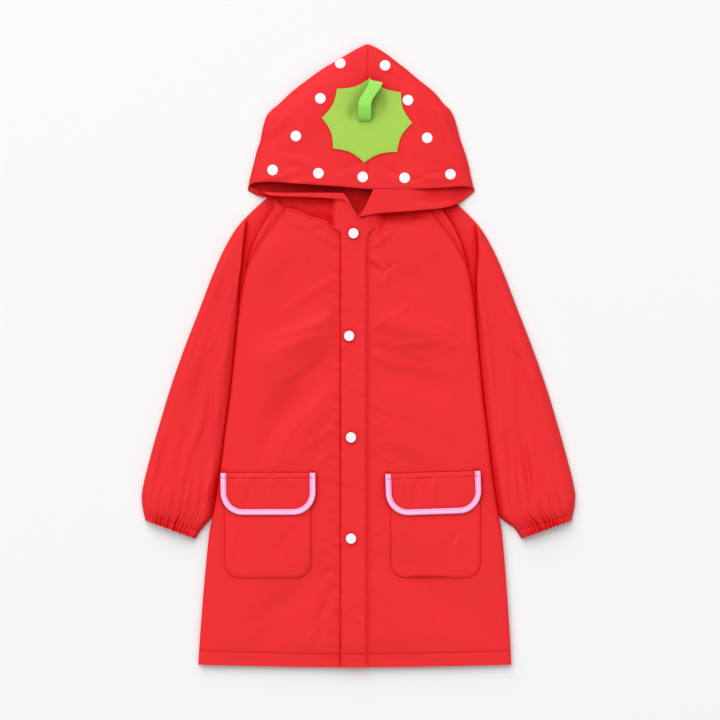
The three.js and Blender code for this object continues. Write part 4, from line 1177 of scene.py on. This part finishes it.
def hood_surface(side, row, across, on_top=True):
    """Points of one side of the hood: row numbers up, shares across from the middle seam."""
    index = np.arange(len(HOOD_Y))
    half, middle, height = [through(index, column, row) for column in (HOOD_HALF, HOOD_MIDDLE, HOOD_HEIGHT)]
    x = lerp(np.minimum(HOOD_SEAM_X, middle + half * 0.5), middle + side * half, across)
    from_middle = np.clip(np.abs(x - middle) / half, 0, 1)
    row_y = through(index, HOOD_Y, row)
    near_edge = np.clip(1 - row, 0, 1)
    edge_y = through(*BRIM, x) if on_top else through(*HOOD_BACK_EDGE, np.abs(x))
    y = row_y + (edge_y - HOOD_Y[0]) * near_edge
    if not on_top:
        return stack(x, y, HOOD_TIP * (1 - quarter_round((1 - from_middle) * half, FLOOR_ROUND)))
    plain = HOOD_TIP + (height - HOOD_TIP) * np.sqrt(1 - from_middle ** HOOD_SHAPE)
    rolled = 1.2 * np.exp(-(y - edge_y) / 1.6) * (row < 2)
    return stack(x, y, plain + hood_relief(x, y, from_middle) - rolled)


def hood_shell(side, thickness):
    """Half of the hood: from the middle seam over to its side, and back underneath."""
    rows = np.concatenate([spread(0, 1, 0.12, fine=(0.05,), fine_step=0.03, reach=0.12)[:-1],
                           np.linspace(1, len(HOOD_Y) - 1, 100)])
    top = np.sin(np.linspace(0, 1, 80) * math.pi / 2)
    under = np.sin(np.linspace(1, 0, 48) * math.pi / 2)
    grid = np.concatenate([hood_surface(side, rows[:, None], top[None, :]),
                           hood_surface(side, rows[:, None], under[None, 1:], on_top=False)], axis=1)
    if side == LEFT:
        grid = grid[:, ::-1]
    return shell(grid, thickness)


def lip_top(x, full, corner=LIP_CORNER_Z):
    """A lip's height, let down to its corner at the side of the mouth."""
    return lerp(corner, full, smooth((LIP_CORNER_X - np.abs(x)) / LIP_CORNER_RUN))


def right_lip(thickness):
    """The right half's lower lip: a raised strip along the mouth, and hollow cloth down to the neck seam."""
    x = spread(-132.6, -0.5, 1.2)[:, None]
    lower = np.where(x < -88, through(*LIP_LOWER, x), through(*NECK_RIGHT, x)) - SEAM_OVERLAP
    edge = np.maximum(through(*LIP_RIGHT, x), lower + 1)
    share = np.linspace(0, 1, 60)[None, :]
    y = lerp(lower, edge, share)
    on_strip = smooth((through(*LIP_STRIP, x) - (edge - y)) / LIP_STRIP_RISE + 0.5)
    at_sleeve = smooth((-84 - x) / 6)
    base = front_cloth(x, lower) + lerp(-0.7, 0.9, at_sleeve) * (1 - smooth((y - lower) / 4))
    column = (SEAM_GAP + PLACKET_THICK) * smooth((x + 38) / 15) * smooth((y - lower) / 5)
    recess = lerp(base + column, LIP_RECESS_Z, smooth((y - lower) / 5) * smooth((-26 - x) / 14))
    folds = relief(x, y, LIP_CREASES)
    strip_z = lerp(base + 3, LIP_STRIP_Z, smooth((-8 - x) / 14)) + 0.4 * ripple(x, y, 21, 22)
    turned = 0.5 * (1 - quarter_round(edge - y, 1.2))
    z = lip_top(x, lerp(recess + folds, strip_z, on_strip), lerp(0.9, 7, share)) - turned
    return under_sheet(stack(x, y, z), thickness)


def left_leaf(thickness):
    """The folded lip: up from the neck seam, round the fold and back into the mouth."""
    at = np.linspace(0, len(LEAF[0]) - 1, 84)[:, None]
    fold_x, fold_y, top_x, top_y = [through(np.arange(len(LEAF[0])), column, at) for column in LEAF]
    face = np.concatenate([[0], np.linspace(0.004, 0.03, 4), np.linspace(0.05, 1, 26)])[None, :]
    x, y = lerp(fold_x, top_x, face), lerp(fold_y, top_y, face)
    under_brim = crown_cloth(x, np.maximum(y, HOOD_Y[0])) - CLOTH - SEAM_GAP * 2
    wave = 0.5 * ripple(x, y, 31, 30) + relief(x, y, LEAF_CREASES)
    turned = LEAF_TURN * 0.5 * (1 - quarter_round(face * 34, LEAF_TURN * 0.6))
    sunk = LEAF_SINK * smooth((x - LEAF_SINK_X) / 60) * smooth(face * 2.2)
    top = np.minimum(lip_top(x, LEAF_TOP_Z - sunk + wave * smooth(face * 6)) - turned, under_brim)
    faces = stack(x, y, top)
    seam_y = np.where(fold_x < 88, np.maximum(through(*NECK_LEFT, fold_x), fold_y + 1.5), fold_y + 4)
    tab = front_cloth(fold_x, seam_y) + 0.4
    seam_z = np.minimum(lip_top(fold_x, tab), faces[:, :1, 2] - LEAF_TURN * 0.4)
    back = np.linspace(1, 0, 9)[None, :-1]
    bend = np.sqrt(1 - back ** 2)
    under_y = fold_y + (seam_y - fold_y) * back
    under_z = lerp(seam_z, faces[:, :1, 2] - 0.4, bend ** 2)
    under = stack(fold_x + 0 * back, under_y + 0.15 * bend, under_z)
    points, grid = shell(np.concatenate([under, faces], axis=1)[:, ::-1], thickness)
    return [(x, y, max(z, LIP_FLOOR_Z)) for x, y, z in points], grid


def throat_tab():
    """The cloth that goes on from the placket up behind the lips."""
    x = spread(PLACKET_EDGE_X, TAB_END_X, 1.2)[:, None]
    lower = through(*NECK_LEFT, x) - SEAM_OVERLAP
    share = np.linspace(0, 1, 30)[None, :]
    y = lerp(lower, through(*TAB_TOP, x), share)
    raised = smooth((TAB_END_X - 3 - x) / 12) * smooth((1.3 - share) / 0.6)
    lift = lerp(0.7, SEAM_GAP + PLACKET_THICK, raised) + 0.5 * ripple(x, y, 41, 18) * smooth(share * 4)
    joined = smooth((y - lower) / 5)
    lift = lerp(placket_lift(np.maximum(x, PLACKET_EDGE_X + 1.4)) + 0.15, lift, joined)
    return under_sheet(stack(x, y, front_cloth(x, lower) + lift), 0.5)


# Pockets, flaps and tape

def on_patch(patch_x, top_y, tilt, dx, down):
    """x and y of places beside a patch's middle and down from its top."""
    turn = math.radians(tilt)
    return (patch_x + dx * math.cos(turn) + down * math.sin(turn),
            top_y + dx * math.sin(turn) - down * math.cos(turn))


def rounded_patch(patch_x, top_y, width, tilt, height, radius, inset, rows, columns):
    """x, y and distance from the border of a patch with round lower corners."""
    bent = np.linspace(0, 1, rows)
    down = lerp(bent, np.sin(bent * math.pi / 2), 0.7)[:, None] * height
    past = np.maximum(0, down - (height - radius))
    half = width / 2 - radius + np.sqrt(np.maximum(0, radius ** 2 - past ** 2)) - inset
    spaced = np.linspace(-1, 1, columns)[None, :]
    dx = lerp(spaced, np.sin(spaced * math.pi / 2), 0.5) * half
    bottom = down - inset * down / height
    x, y = on_patch(patch_x, top_y, tilt, dx, bottom)
    from_side = half - np.abs(dx)
    from_bottom = (height - inset) - bottom
    corner = np.hypot(np.maximum(0, np.abs(dx) - (width / 2 - radius)), past)
    border = np.minimum(np.minimum(from_side, from_bottom), np.where(corner > 0, radius - corner, 1e3))
    return x, y, np.maximum(0, border), down


def pocket_shell(side):
    patch_x, width = POCKETS[side]
    x, y, border, down = rounded_patch(
        patch_x, POCKET_TOP_Y, width, 0, POCKET_HEIGHT, POCKET_RADIUS, 0, 76, 84)
    sewn = 1 - smooth(border / 3.5)
    lift = lerp(POCKET_LIFT + TRIM + 0.4, POCKET_LIFT + 0.75, sewn)
    creased = relief(x, y, moved(POCKET_CREASES, patch_x)) + 0.15 * ripple(x, y, 51, 24)
    hem = -0.4 * np.exp(-((down - 15.5) / 0.9) ** 2)
    return under_sheet(stack(x, y, front_cloth(x, y) + lift + creased * (1 - sewn) + hem), 0.5)


def flap_shell(side):
    patch_x, top_y, width, tilt = FLAPS[side]
    x, y, border, down = rounded_patch(
        patch_x, top_y, width, tilt, FLAP_HEIGHT, FLAP_RADIUS, TRIM + SEAM_GAP, 48, 84)
    stitched = 0.2 * np.exp(-(down - FLAP_STITCH_DOWN) ** 2)
    creased = relief(x, y, moved(FLAP_CREASES, patch_x, top_y)) + 0.1 * ripple(x, y, 61, 20)
    top_roll = 1.0 * (1 - smooth(down / 9)) + 0.4 * (1 - quarter_round(down, 1))
    z = front_cloth(x, y) + FLAP_LIFT + TRIM + smooth(border / 8) * creased
    return under_sheet(stack(x, y, z - stitched - top_roll), 0.6)


def tape_route(side, step=1.6):
    """Points down one side of a flap, round its lower edge and up the other, and the turn at each."""
    _, _, width, _ = FLAPS[side]
    half, straight, radius = width / 2, FLAP_HEIGHT - FLAP_RADIUS, FLAP_RADIUS
    run = np.linspace(0, straight, int(straight / step) + 1)[:-1]
    arc = np.linspace(0, math.pi / 2, int(radius * 1.57 / step) + 1)
    flat = half - radius
    bottom = np.linspace(-flat, flat, int(2 * flat / step) + 1)[1:-1]
    dx = np.concatenate([0 * run - half, -flat - radius * np.cos(arc), bottom, flat + radius * np.sin(arc),
                         0 * run + half])
    down = np.concatenate([run, straight + radius * np.sin(arc), 0 * bottom + FLAP_HEIGHT,
                           straight + radius * np.cos(arc), run[::-1]])
    quarter = math.pi / 2
    angle = np.concatenate([0 * run, arc, 0 * bottom + quarter, quarter + arc, 0 * run + math.pi])
    return dx, down, angle


def tape_shell(side):
    """The binding folded round a flap's edge: one closed section along its route."""
    patch_x, top_y, _, tilt = FLAPS[side]
    dx, down, angle = tape_route(side)
    width = BINDING_WIDTH
    # Section as distance in from the edge, and height over the front
    section = np.array([
        (0.9, TAPE_LIFT - 0.1), (width - 0.2, TAPE_LIFT - 0.1), (width, TAPE_LIFT + 0.25),
        (width - 0.3, TAPE_LIFT + 0.6), (width - 1.4, TAPE_LIFT + 0.62), (width - 2.4, TAPE_LIFT + 0.86),
        (width / 2, TAPE_LIFT + TRIM), (1.5, TAPE_LIFT + 0.94), (0.5, TAPE_LIFT + 0.66),
        (0.08, TAPE_LIFT + 0.1), (0, FLAP_LIFT + 0.9), (0.2, FLAP_LIFT + 0.3), (0.9, FLAP_LIFT),
    ])
    inset, lift = section[None, :, 0], section[None, :, 1]
    place_x = dx[:, None] + inset * np.cos(angle[:, None])
    place_down = down[:, None] - inset * np.sin(angle[:, None])
    x, y = on_patch(patch_x, top_y, tilt, place_x, place_down)
    points = stack(x, y, front_cloth(x, y) + lift).reshape(-1, 3).tolist()
    count = len(section)
    faces = [tuple(range(count)), tuple(range(len(points) - 1, len(points) - 1 - count, -1))]
    for a in range(0, len(points) - count, count):
        for i in range(count):
            j = (i + 1) % count
            faces.append((a + i, a + j, a + count + j, a + count + i))
    return points, faces


# Leaf patch, strap and snaps

def calyx_reach(angle):
    """Share of the full radius that the leaf's edge reaches, hollow between its points."""
    between = (angle / (2 * math.pi) * CALYX_POINTS) % 1
    return 1 - CALYX_HOLLOW * np.sin(math.pi * between) ** 0.8


def calyx_shell():
    steps = 192
    angle = (np.arange(steps) * 2 * math.pi / steps)[None, :]
    share = np.concatenate([np.linspace(0.01, CALYX_STITCH, 26), [0.965, 0.985, 1.0]])[:, None]
    reach = share * lerp(1, calyx_reach(angle), share ** 1.5)
    x = CALYX_X + CALYX_RADIUS_X * reach * np.sin(angle + CALYX_TURN)
    y = CALYX_Y + CALYX_RADIUS_Y * reach * np.cos(angle + CALYX_TURN)
    edge = 0.35 * smooth((share - CALYX_STITCH) / 0.06)
    stitched = 0.3 * np.exp(-((share - CALYX_STITCH) / 0.012) ** 2)
    return disc(stack(x, y, crown_cloth(x, y) + SEAM_GAP + TRIM - edge - stitched), 0.6)


def stalk_surface(t, edge, lift=0.0):
    """Points of the strap's outer face: t along its path, edge from -1 to 1 across it."""
    index = np.arange(len(STALK_Y))
    y, z = through(index, STALK_Y, t), through(index, STALK_Z, t)
    leaning = smooth((y - STALK_LEAN_START_Y) / (STALK_LEAN_END_Y - STALK_LEAN_START_Y))
    seat = crown_cloth(np.array(CALYX_X), np.array(STALK_Y[0])) + SEAM_GAP + TRIM
    x = STALK_X + STALK_LEAN * leaning + edge * STALK_WIDTH / 2
    return stack(x, y - STALK_SLANT * edge * leaning, seat + z + TRIM + lift)


def stalk_shell():
    t = np.linspace(0, len(STALK_Y) - 1, 90)[:, None]
    edge = np.array([-1, -0.96, -0.84, -0.5, 0, 0.5, 0.84, 0.96, 1])[None, :]
    domed = -0.18 * edge ** 6
    return shell(stalk_surface(t, edge, domed)[:, ::-1], 0.8)


def snap_cap(x, y, seat):
    """Lathe-turned cap: the profile turned round its middle."""
    steps = 64
    points, faces = [(x, y, seat)], []
    for r, z in SNAP_PROFILE[1:-1]:
        for i in range(steps):
            angle = 2 * math.pi * i / steps
            points.append((x + SNAP_RADIUS * r * math.cos(angle), y + SNAP_RADIUS * r * math.sin(angle),
                           seat + SNAP_HEIGHT * z))
    last = len(points) - steps
    points.append((x, y, seat + SNAP_HEIGHT * SNAP_PROFILE[-1][1]))
    for i in range(steps):
        j = (i + 1) % steps
        faces.append((0, 1 + j, 1 + i))
        for a in range(1, last, steps):
            faces.append((a + i, a + j, a + steps + j, a + steps + i))
        faces.append((last + i, last + j, len(points) - 1))
    return points, faces


def printed_dot(x, y, radius):
    """A thin disc of ink that follows the hood."""
    steps, rings = 40, 6
    angle = (np.arange(steps) * 2 * math.pi / steps)[None, :]
    share = np.linspace(0.04, 1, rings)[:, None]
    dot_x, dot_y = x + radius * share * np.cos(angle), y + radius * share * np.sin(angle)
    half, middle, _ = hood_row(dot_y)
    dot_x = np.clip(dot_x, middle - half * 0.985, middle + half * 0.985)
    return disc(stack(dot_x, dot_y, crown_cloth(dot_x, dot_y) + 0.22), 0.4)


# What a user would change

def length_setting(label, description, millimetres, **limits):
    return FloatProperty(name=label, description=description, default=millimetres * MM, unit="LENGTH",
                         precision=5, **limits)


def colour_setting(label, of_what, text):
    return FloatVectorProperty(name=label, description=f"Colour of the {of_what}", subtype="COLOR", size=3,
                               default=hex_colour(text))


class RaincoatSizes(bpy.types.PropertyGroup):
    cloth_thickness: length_setting(
        "Cloth Thickness", "Thickness of the coated cloth as drawn", 0.7, min=0.1 * MM, max=1.4 * MM)
    crease_depth: FloatProperty(
        name="Crease Depth", description="Depth of every crease, as a share of the worked-out one",
        default=1.0, min=0.0, max=2.0, subtype="FACTOR")
    stitch_pitch: length_setting("Stitch Pitch", "Length of a stitch with its gap", 3.0)
    thread_width: length_setting("Thread Width", "Width of the sewing thread", 0.6)
    dot_diameter: length_setting("Dot Diameter", "Diameter of a printed dot", 12.6)
    coat_colour: colour_setting("Coat", "coated taffeta", "#EC3034")
    tape_colour: colour_setting("Tape", "pocket flaps' tape", "#FFC2EA")
    leaf_colour: colour_setting("Leaf", "leaf patch", "#A6D246")
    strap_colour: colour_setting("Strap", "strap loop", "#9CEC5A")
    thread_colour: colour_setting("Thread", "sewing thread", "#DE2A30")
    table_colour: colour_setting("Table", "table", "#F4F4F5")


def cloth_mm():
    return bpy.context.scene.raincoat.cloth_thickness / MM


class RAINCOAT_OT_back(bpy.types.Operator):
    """Lays the back panel on the table"""
    bl_idname = "raincoat.back"
    bl_label = "Back"

    def execute(self, context):
        piece = settle(mesh_object("back_panel", [back_shell()], woven(TAFFETA)), "red_taffeta", "back")
        return {"FINISHED"}


class RAINCOAT_OT_fronts(bpy.types.Operator):
    """Lays the two fronts over the back, the left one with its doubled placket on top"""
    bl_idname = "raincoat.fronts"
    bl_label = "Fronts"

    def execute(self, context):
        parts = [under_sheet(right_front_points(), cloth_mm())]
        right = mesh_object("right_front_panel", parts, woven(TAFFETA))
        settle(right, "red_taffeta", "front_right")
        left = mesh_object("left_front_panel", [left_front_shell(cloth_mm())], woven(TAFFETA))
        settle(left, "red_taffeta", "front_left")
        return {"FINISHED"}


class RAINCOAT_OT_sleeves(bpy.types.Operator):
    """Makes the two raglan sleeves with their gathered cuffs"""
    bl_idname = "raincoat.sleeves"
    bl_label = "Sleeves"

    def execute(self, context):
        for side, name in ((RIGHT, "right"), (LEFT, "left")):
            piece = mesh_object(f"{name}_sleeve", [sleeve_shell(side, cloth_mm())], woven(TAFFETA))
            settle(piece, "red_taffeta", f"sleeve_{name}")
        return {"FINISHED"}


class RAINCOAT_OT_hood(bpy.types.Operator):
    """Makes the hood's two halves with their lips and the throat tab"""
    bl_idname = "raincoat.hood"
    bl_label = "Hood"

    def execute(self, context):
        thickness = cloth_mm()
        parts = [hood_shell(RIGHT, thickness), right_lip(thickness)]
        right = mesh_object("right_hood_half", parts, woven(TAFFETA))
        settle(right, "red_taffeta", "hood_right")
        parts = [hood_shell(LEFT, thickness), left_leaf(thickness), throat_tab()]
        left = mesh_object("left_hood_half", parts, woven(TAFFETA))
        settle(left, "red_taffeta", "hood_left")
        return {"FINISHED"}


class RAINCOAT_OT_pockets(bpy.types.Operator):
    """Sews on the patch pockets and their flaps with the tape round them"""
    bl_idname = "raincoat.pockets"
    bl_label = "Pockets and Flaps"

    def execute(self, context):
        for side in POCKETS:
            piece = mesh_object(f"{side}_patch_pocket", [pocket_shell(side)], woven(TAFFETA))
            settle(piece, "red_taffeta", f"pocket_{side}")
        for side in FLAPS:
            flap = mesh_object(f"{side}_pocket_flap", [flap_shell(side)], woven(TAFFETA))
            settle(flap, "red_taffeta", f"flap_{side}")
            edge = mesh_object(f"{side}_flap_tape", [tape_shell(side)], woven("woven_polyester_tape"))
            settle(edge, "pink_tape", f"binding_{side}")
        return {"FINISHED"}


class RAINCOAT_OT_leaf(bpy.types.Operator):
    """Puts the leaf-shaped patch and its strap loop on the hood"""
    bl_idname = "raincoat.leaf"
    bl_label = "Leaf Patch and Strap"

    def execute(self, context):
        patch = mesh_object("leaf_patch", [calyx_shell()], woven("plain_weave_polyester"))
        settle(patch, "green_cloth", "calyx")
        loop = mesh_object("strap_loop", [stalk_shell()], woven("grosgrain_strap"))
        settle(loop, "green_strap", "stalk_loop")
        return {"FINISHED"}


class RAINCOAT_OT_dots(bpy.types.Operator):
    """Prints the dots on the hood"""
    bl_idname = "raincoat.dots"
    bl_label = "Printed Dots"

    def execute(self, context):
        radius = context.scene.raincoat.dot_diameter / MM / 2
        dots = [printed_dot(x, y, radius) for x, y in DOTS]
        settle(mesh_object("printed_dots", dots, woven("white_screen_print")), "red_taffeta")
        return {"FINISHED"}


class RAINCOAT_OT_snaps(bpy.types.Operator):
    """Sets the four snap caps down the placket"""
    bl_idname = "raincoat.snaps"
    bl_label = "Snaps"

    def execute(self, context):
        acetal = moulded_acetal()
        for number, (x, y) in enumerate(SNAPS, start=1):
            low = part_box(f"snap_{number}")[0]
            piece = mesh_object(f"snap_cap_{number}", [snap_cap(x, y, low[2] / MM)], acetal, smooth_angle=40)
            settle(piece, "white_plastic", f"snap_{number}")
        return {"FINISHED"}


def body_seams():
    """Paths of the stitching on the fronts: placket, hem, beside the raglan seams and below the neck."""
    ys = np.linspace(HEM_Y + 1, 139, 420)
    placket = front_cloth(np.full_like(ys, PLACKET_STITCH_X), ys) + placket_lift(np.array(PLACKET_STITCH_X))
    paths = [stack(PLACKET_STITCH_X, ys, placket + 0.15)]
    right_hem = (MIDLINE_HEM_X - HALF[0] + 2, PLACKET_EDGE_X - 1)
    left_hem = (PLACKET_STITCH_X + 3, MIDLINE_HEM_X + HALF[0] - 2)
    for start, end in (right_hem, left_hem):
        xs = np.linspace(start, end, 160)
        paths.append(on_surface(xs, hem_line_y(xs), front_cloth))
    xs = np.linspace(PLACKET_EDGE_X + 1.5, PLACKET_STITCH_X - 1, 24)
    paths.append(on_surface(xs, hem_line_y(xs), front_cloth, SEAM_GAP + PLACKET_THICK + 0.05))
    for side in (RIGHT, LEFT):
        ys = np.linspace(SIDE_Y[UNDERARM_ROW] + 1, RAGLAN_TOP_Y - 2, 60)
        xs, ys = midline_x(ys) + side * (half_width(ys) - 1.8), ys - 1
        paths.append(on_surface(xs, ys, front_cloth, 0.05 - side_roll(xs, ys)))
    for neck, low, high in ((NECK_RIGHT, -84, -24), (NECK_LEFT, 24, 84)):
        xs = np.linspace(low, high, 60)
        paths.append(on_surface(xs, through(*neck, xs) - 2.6, front_cloth))
    return paths


def sleeve_seams():
    """Paths of the stitching on the sleeves: beside the raglan seam, and where the elastic is sewn in."""
    paths = []
    for side in (RIGHT, LEFT):
        stations = np.linspace(0.4, 4.2, 60)
        paths.append(sleeve_surface(side, stations, lerp(0.2, 0.03, stations / 4.2)) + (0, 0, 0.05))
        across = np.linspace(0.03, 0.97, 120)
        paths.append(sleeve_surface(side, np.full_like(across, CUFF_STITCH), across) + (0, 0, 0.08))
    return paths


def patch_seams():
    """Paths of the stitching on the pockets, below their flaps, and across the flaps."""
    paths = []
    for patch_x, width in POCKETS.values():
        half, radius = width / 2 - POCKET_STITCH_IN, POCKET_RADIUS - POCKET_STITCH_IN
        arc = np.linspace(0, math.pi / 2, 16)
        straight = POCKET_HEIGHT - POCKET_RADIUS
        downs = np.linspace(34, straight, 24)[:-1]
        dx = np.concatenate([0 * downs - half, -(half - radius) - radius * np.cos(arc),
                             (half - radius) + radius * np.sin(arc), 0 * downs + half])
        down = np.concatenate([downs, straight + radius * np.sin(arc), straight + radius * np.cos(arc),
                               downs[::-1]])
        paths.append(on_surface(patch_x + dx, POCKET_TOP_Y - down, front_cloth, POCKET_LIFT + 0.7))
    for patch_x, top_y, width, tilt in FLAPS.values():
        dx = np.linspace(-width / 2 + 8, width / 2 - 8, 60)
        x, y = on_patch(patch_x, top_y, tilt, dx, FLAP_STITCH_DOWN)
        paths.append(on_surface(x, y, front_cloth, FLAP_LIFT + TRIM - 0.25))
    return paths


def tape_seams():
    """Paths of the stitching on the tape: inside its inner edge, and the bars across its ends."""
    paths = []
    inset = BINDING_WIDTH - 1.4
    for side, (patch_x, top_y, width, tilt) in FLAPS.items():
        dx, down, angle = tape_route(side)
        x, y = on_patch(patch_x, top_y, tilt, dx + inset * np.cos(angle), down - inset * np.sin(angle))
        paths.append(on_surface(x, y, front_cloth, TAPE_LIFT + 0.62))
        for end in (-1, 1):
            bar = np.linspace(width / 2 - 0.4, width / 2 - BINDING_WIDTH, 6) * end
            x, y = on_patch(patch_x, top_y, tilt, bar, FLAP_STITCH_DOWN)
            paths.append(on_surface(x, y, front_cloth, TAPE_LIFT + TRIM))
    return paths


class RAINCOAT_OT_stitching(bpy.types.Operator):
    """Sews the seams, hems and edges"""
    bl_idname = "raincoat.stitching"
    bl_label = "Stitching"

    def execute(self, context):
        sew("body_stitching", body_seams(), woven(THREAD), "red_taffeta")
        sew("sleeve_stitching", sleeve_seams(), woven(THREAD), "red_taffeta")
        sew("pocket_stitching", patch_seams(), woven(THREAD), "red_taffeta")
        sew("tape_stitching", tape_seams(), woven("tape_coloured_thread"), "pink_tape")
        return {"FINISHED"}


# Table, lights and camera, in metres
CAMERA_HEIGHT = 4.808
LENS_MM = 200
SENSOR_MM = 36
FRAME_CENTRE = (1.8 * MM, -4.8 * MM)
TABLE_SIZE = 6.0
TABLE_THICKNESS = 0.020
TABLE_DROP = 0.0002
LAMP_DISTANCE = 14.0
# Lamps: name, degrees from the zenith, bearing from +x, half angle of the disc as the coat sees it, watts
LAMPS = [
    ("window", 44, 110, 34, 2260),
    ("reflector", 44, 285, 36, 560),
]
WORLD_COLOUR = "#FFFDFC"
WORLD_STRENGTH = 0.33


def soft_light(name, from_zenith, bearing, half_angle, watts):
    """A far disc lamp that shines at the coat."""
    tilt, turn = math.radians(from_zenith), math.radians(bearing)
    towards = Vector((math.sin(tilt) * math.cos(turn), math.sin(tilt) * math.sin(turn), math.cos(tilt)))
    data = bpy.data.lights.new(name, "AREA")
    data.shape = "DISK"
    data.size = 2 * LAMP_DISTANCE * math.tan(math.radians(half_angle))
    data.energy = watts
    lamp = bpy.data.objects.new(name, data)
    lamp.location = LAMP_DISTANCE * towards
    lamp.rotation_euler = (-towards).to_track_quat("-Z", "Y").to_euler()
    bpy.context.scene.collection.objects.link(lamp)


class RAINCOAT_OT_stage(bpy.types.Operator):
    """Sets up the table, the soft lights and the camera straight above"""
    bl_idname = "raincoat.stage"
    bl_label = "Table, Lights and Camera"

    def execute(self, context):
        half = TABLE_SIZE / 2 / MM
        top = [(-half, -half, 0), (half, -half, 0), (half, half, 0), (-half, half, 0)]
        bottom = [(x, y, -TABLE_THICKNESS / MM) for x, y, _ in top]
        sides = [(i, (i + 1) % 4, 4 + (i + 1) % 4, 4 + i) for i in range(4)]
        faces = [(0, 1, 2, 3), (7, 6, 5, 4)] + sides
        table = mesh_object("table", [(top + bottom, faces)], painted_table())
        table.location.z = -TABLE_DROP
        for lamp in LAMPS:
            soft_light(*lamp)
        world = bpy.data.worlds.new("studio")
        world.use_nodes = True
        background = world.node_tree.nodes["Background"]
        background.inputs["Color"].default_value = (*hex_colour(WORLD_COLOUR), 1)
        background.inputs["Strength"].default_value = WORLD_STRENGTH
        context.scene.world = world
        lens = bpy.data.cameras.new("above")
        lens.lens, lens.sensor_width = LENS_MM, SENSOR_MM
        camera = bpy.data.objects.new("above", lens)
        camera.location = (*FRAME_CENTRE, CAMERA_HEIGHT)
        context.scene.collection.objects.link(camera)
        context.scene.camera = camera
        context.scene.view_settings.view_transform = "Standard"
        return {"FINISHED"}


class RAINCOAT_PT_panel(bpy.types.Panel):
    bl_label = "Raincoat"
    bl_idname = "RAINCOAT_PT_panel"
    bl_space_type = "VIEW_3D"
    bl_region_type = "UI"
    bl_category = "Raincoat"

    def draw(self, context):
        layout = self.layout
        for name in RaincoatSizes.__annotations__:
            layout.prop(context.scene.raincoat, name)
        for operator in OPERATORS:
            layout.operator(operator.bl_idname)


OPERATORS = (
    RAINCOAT_OT_back, RAINCOAT_OT_fronts, RAINCOAT_OT_sleeves, RAINCOAT_OT_hood, RAINCOAT_OT_pockets,
    RAINCOAT_OT_leaf, RAINCOAT_OT_dots, RAINCOAT_OT_snaps, RAINCOAT_OT_stitching, RAINCOAT_OT_stage,
)


def register():
    for made in (RaincoatSizes, *OPERATORS, RAINCOAT_PT_panel):
        bpy.utils.register_class(made)
    bpy.types.Scene.raincoat = PointerProperty(type=RaincoatSizes)


def unregister():
    del bpy.types.Scene.raincoat
    for made in (RAINCOAT_PT_panel, *reversed(OPERATORS), RaincoatSizes):
        bpy.utils.unregister_class(made)


def main():
    register()
    bpy.ops.raincoat.back()
    bpy.ops.raincoat.fronts()
    bpy.ops.raincoat.sleeves()
    bpy.ops.raincoat.hood()
    bpy.ops.raincoat.pockets()
    bpy.ops.raincoat.leaf()
    bpy.ops.raincoat.dots()
    bpy.ops.raincoat.snaps()
    bpy.ops.raincoat.stitching()
    bpy.ops.raincoat.stage()


if __name__ == "__main__":
    main()
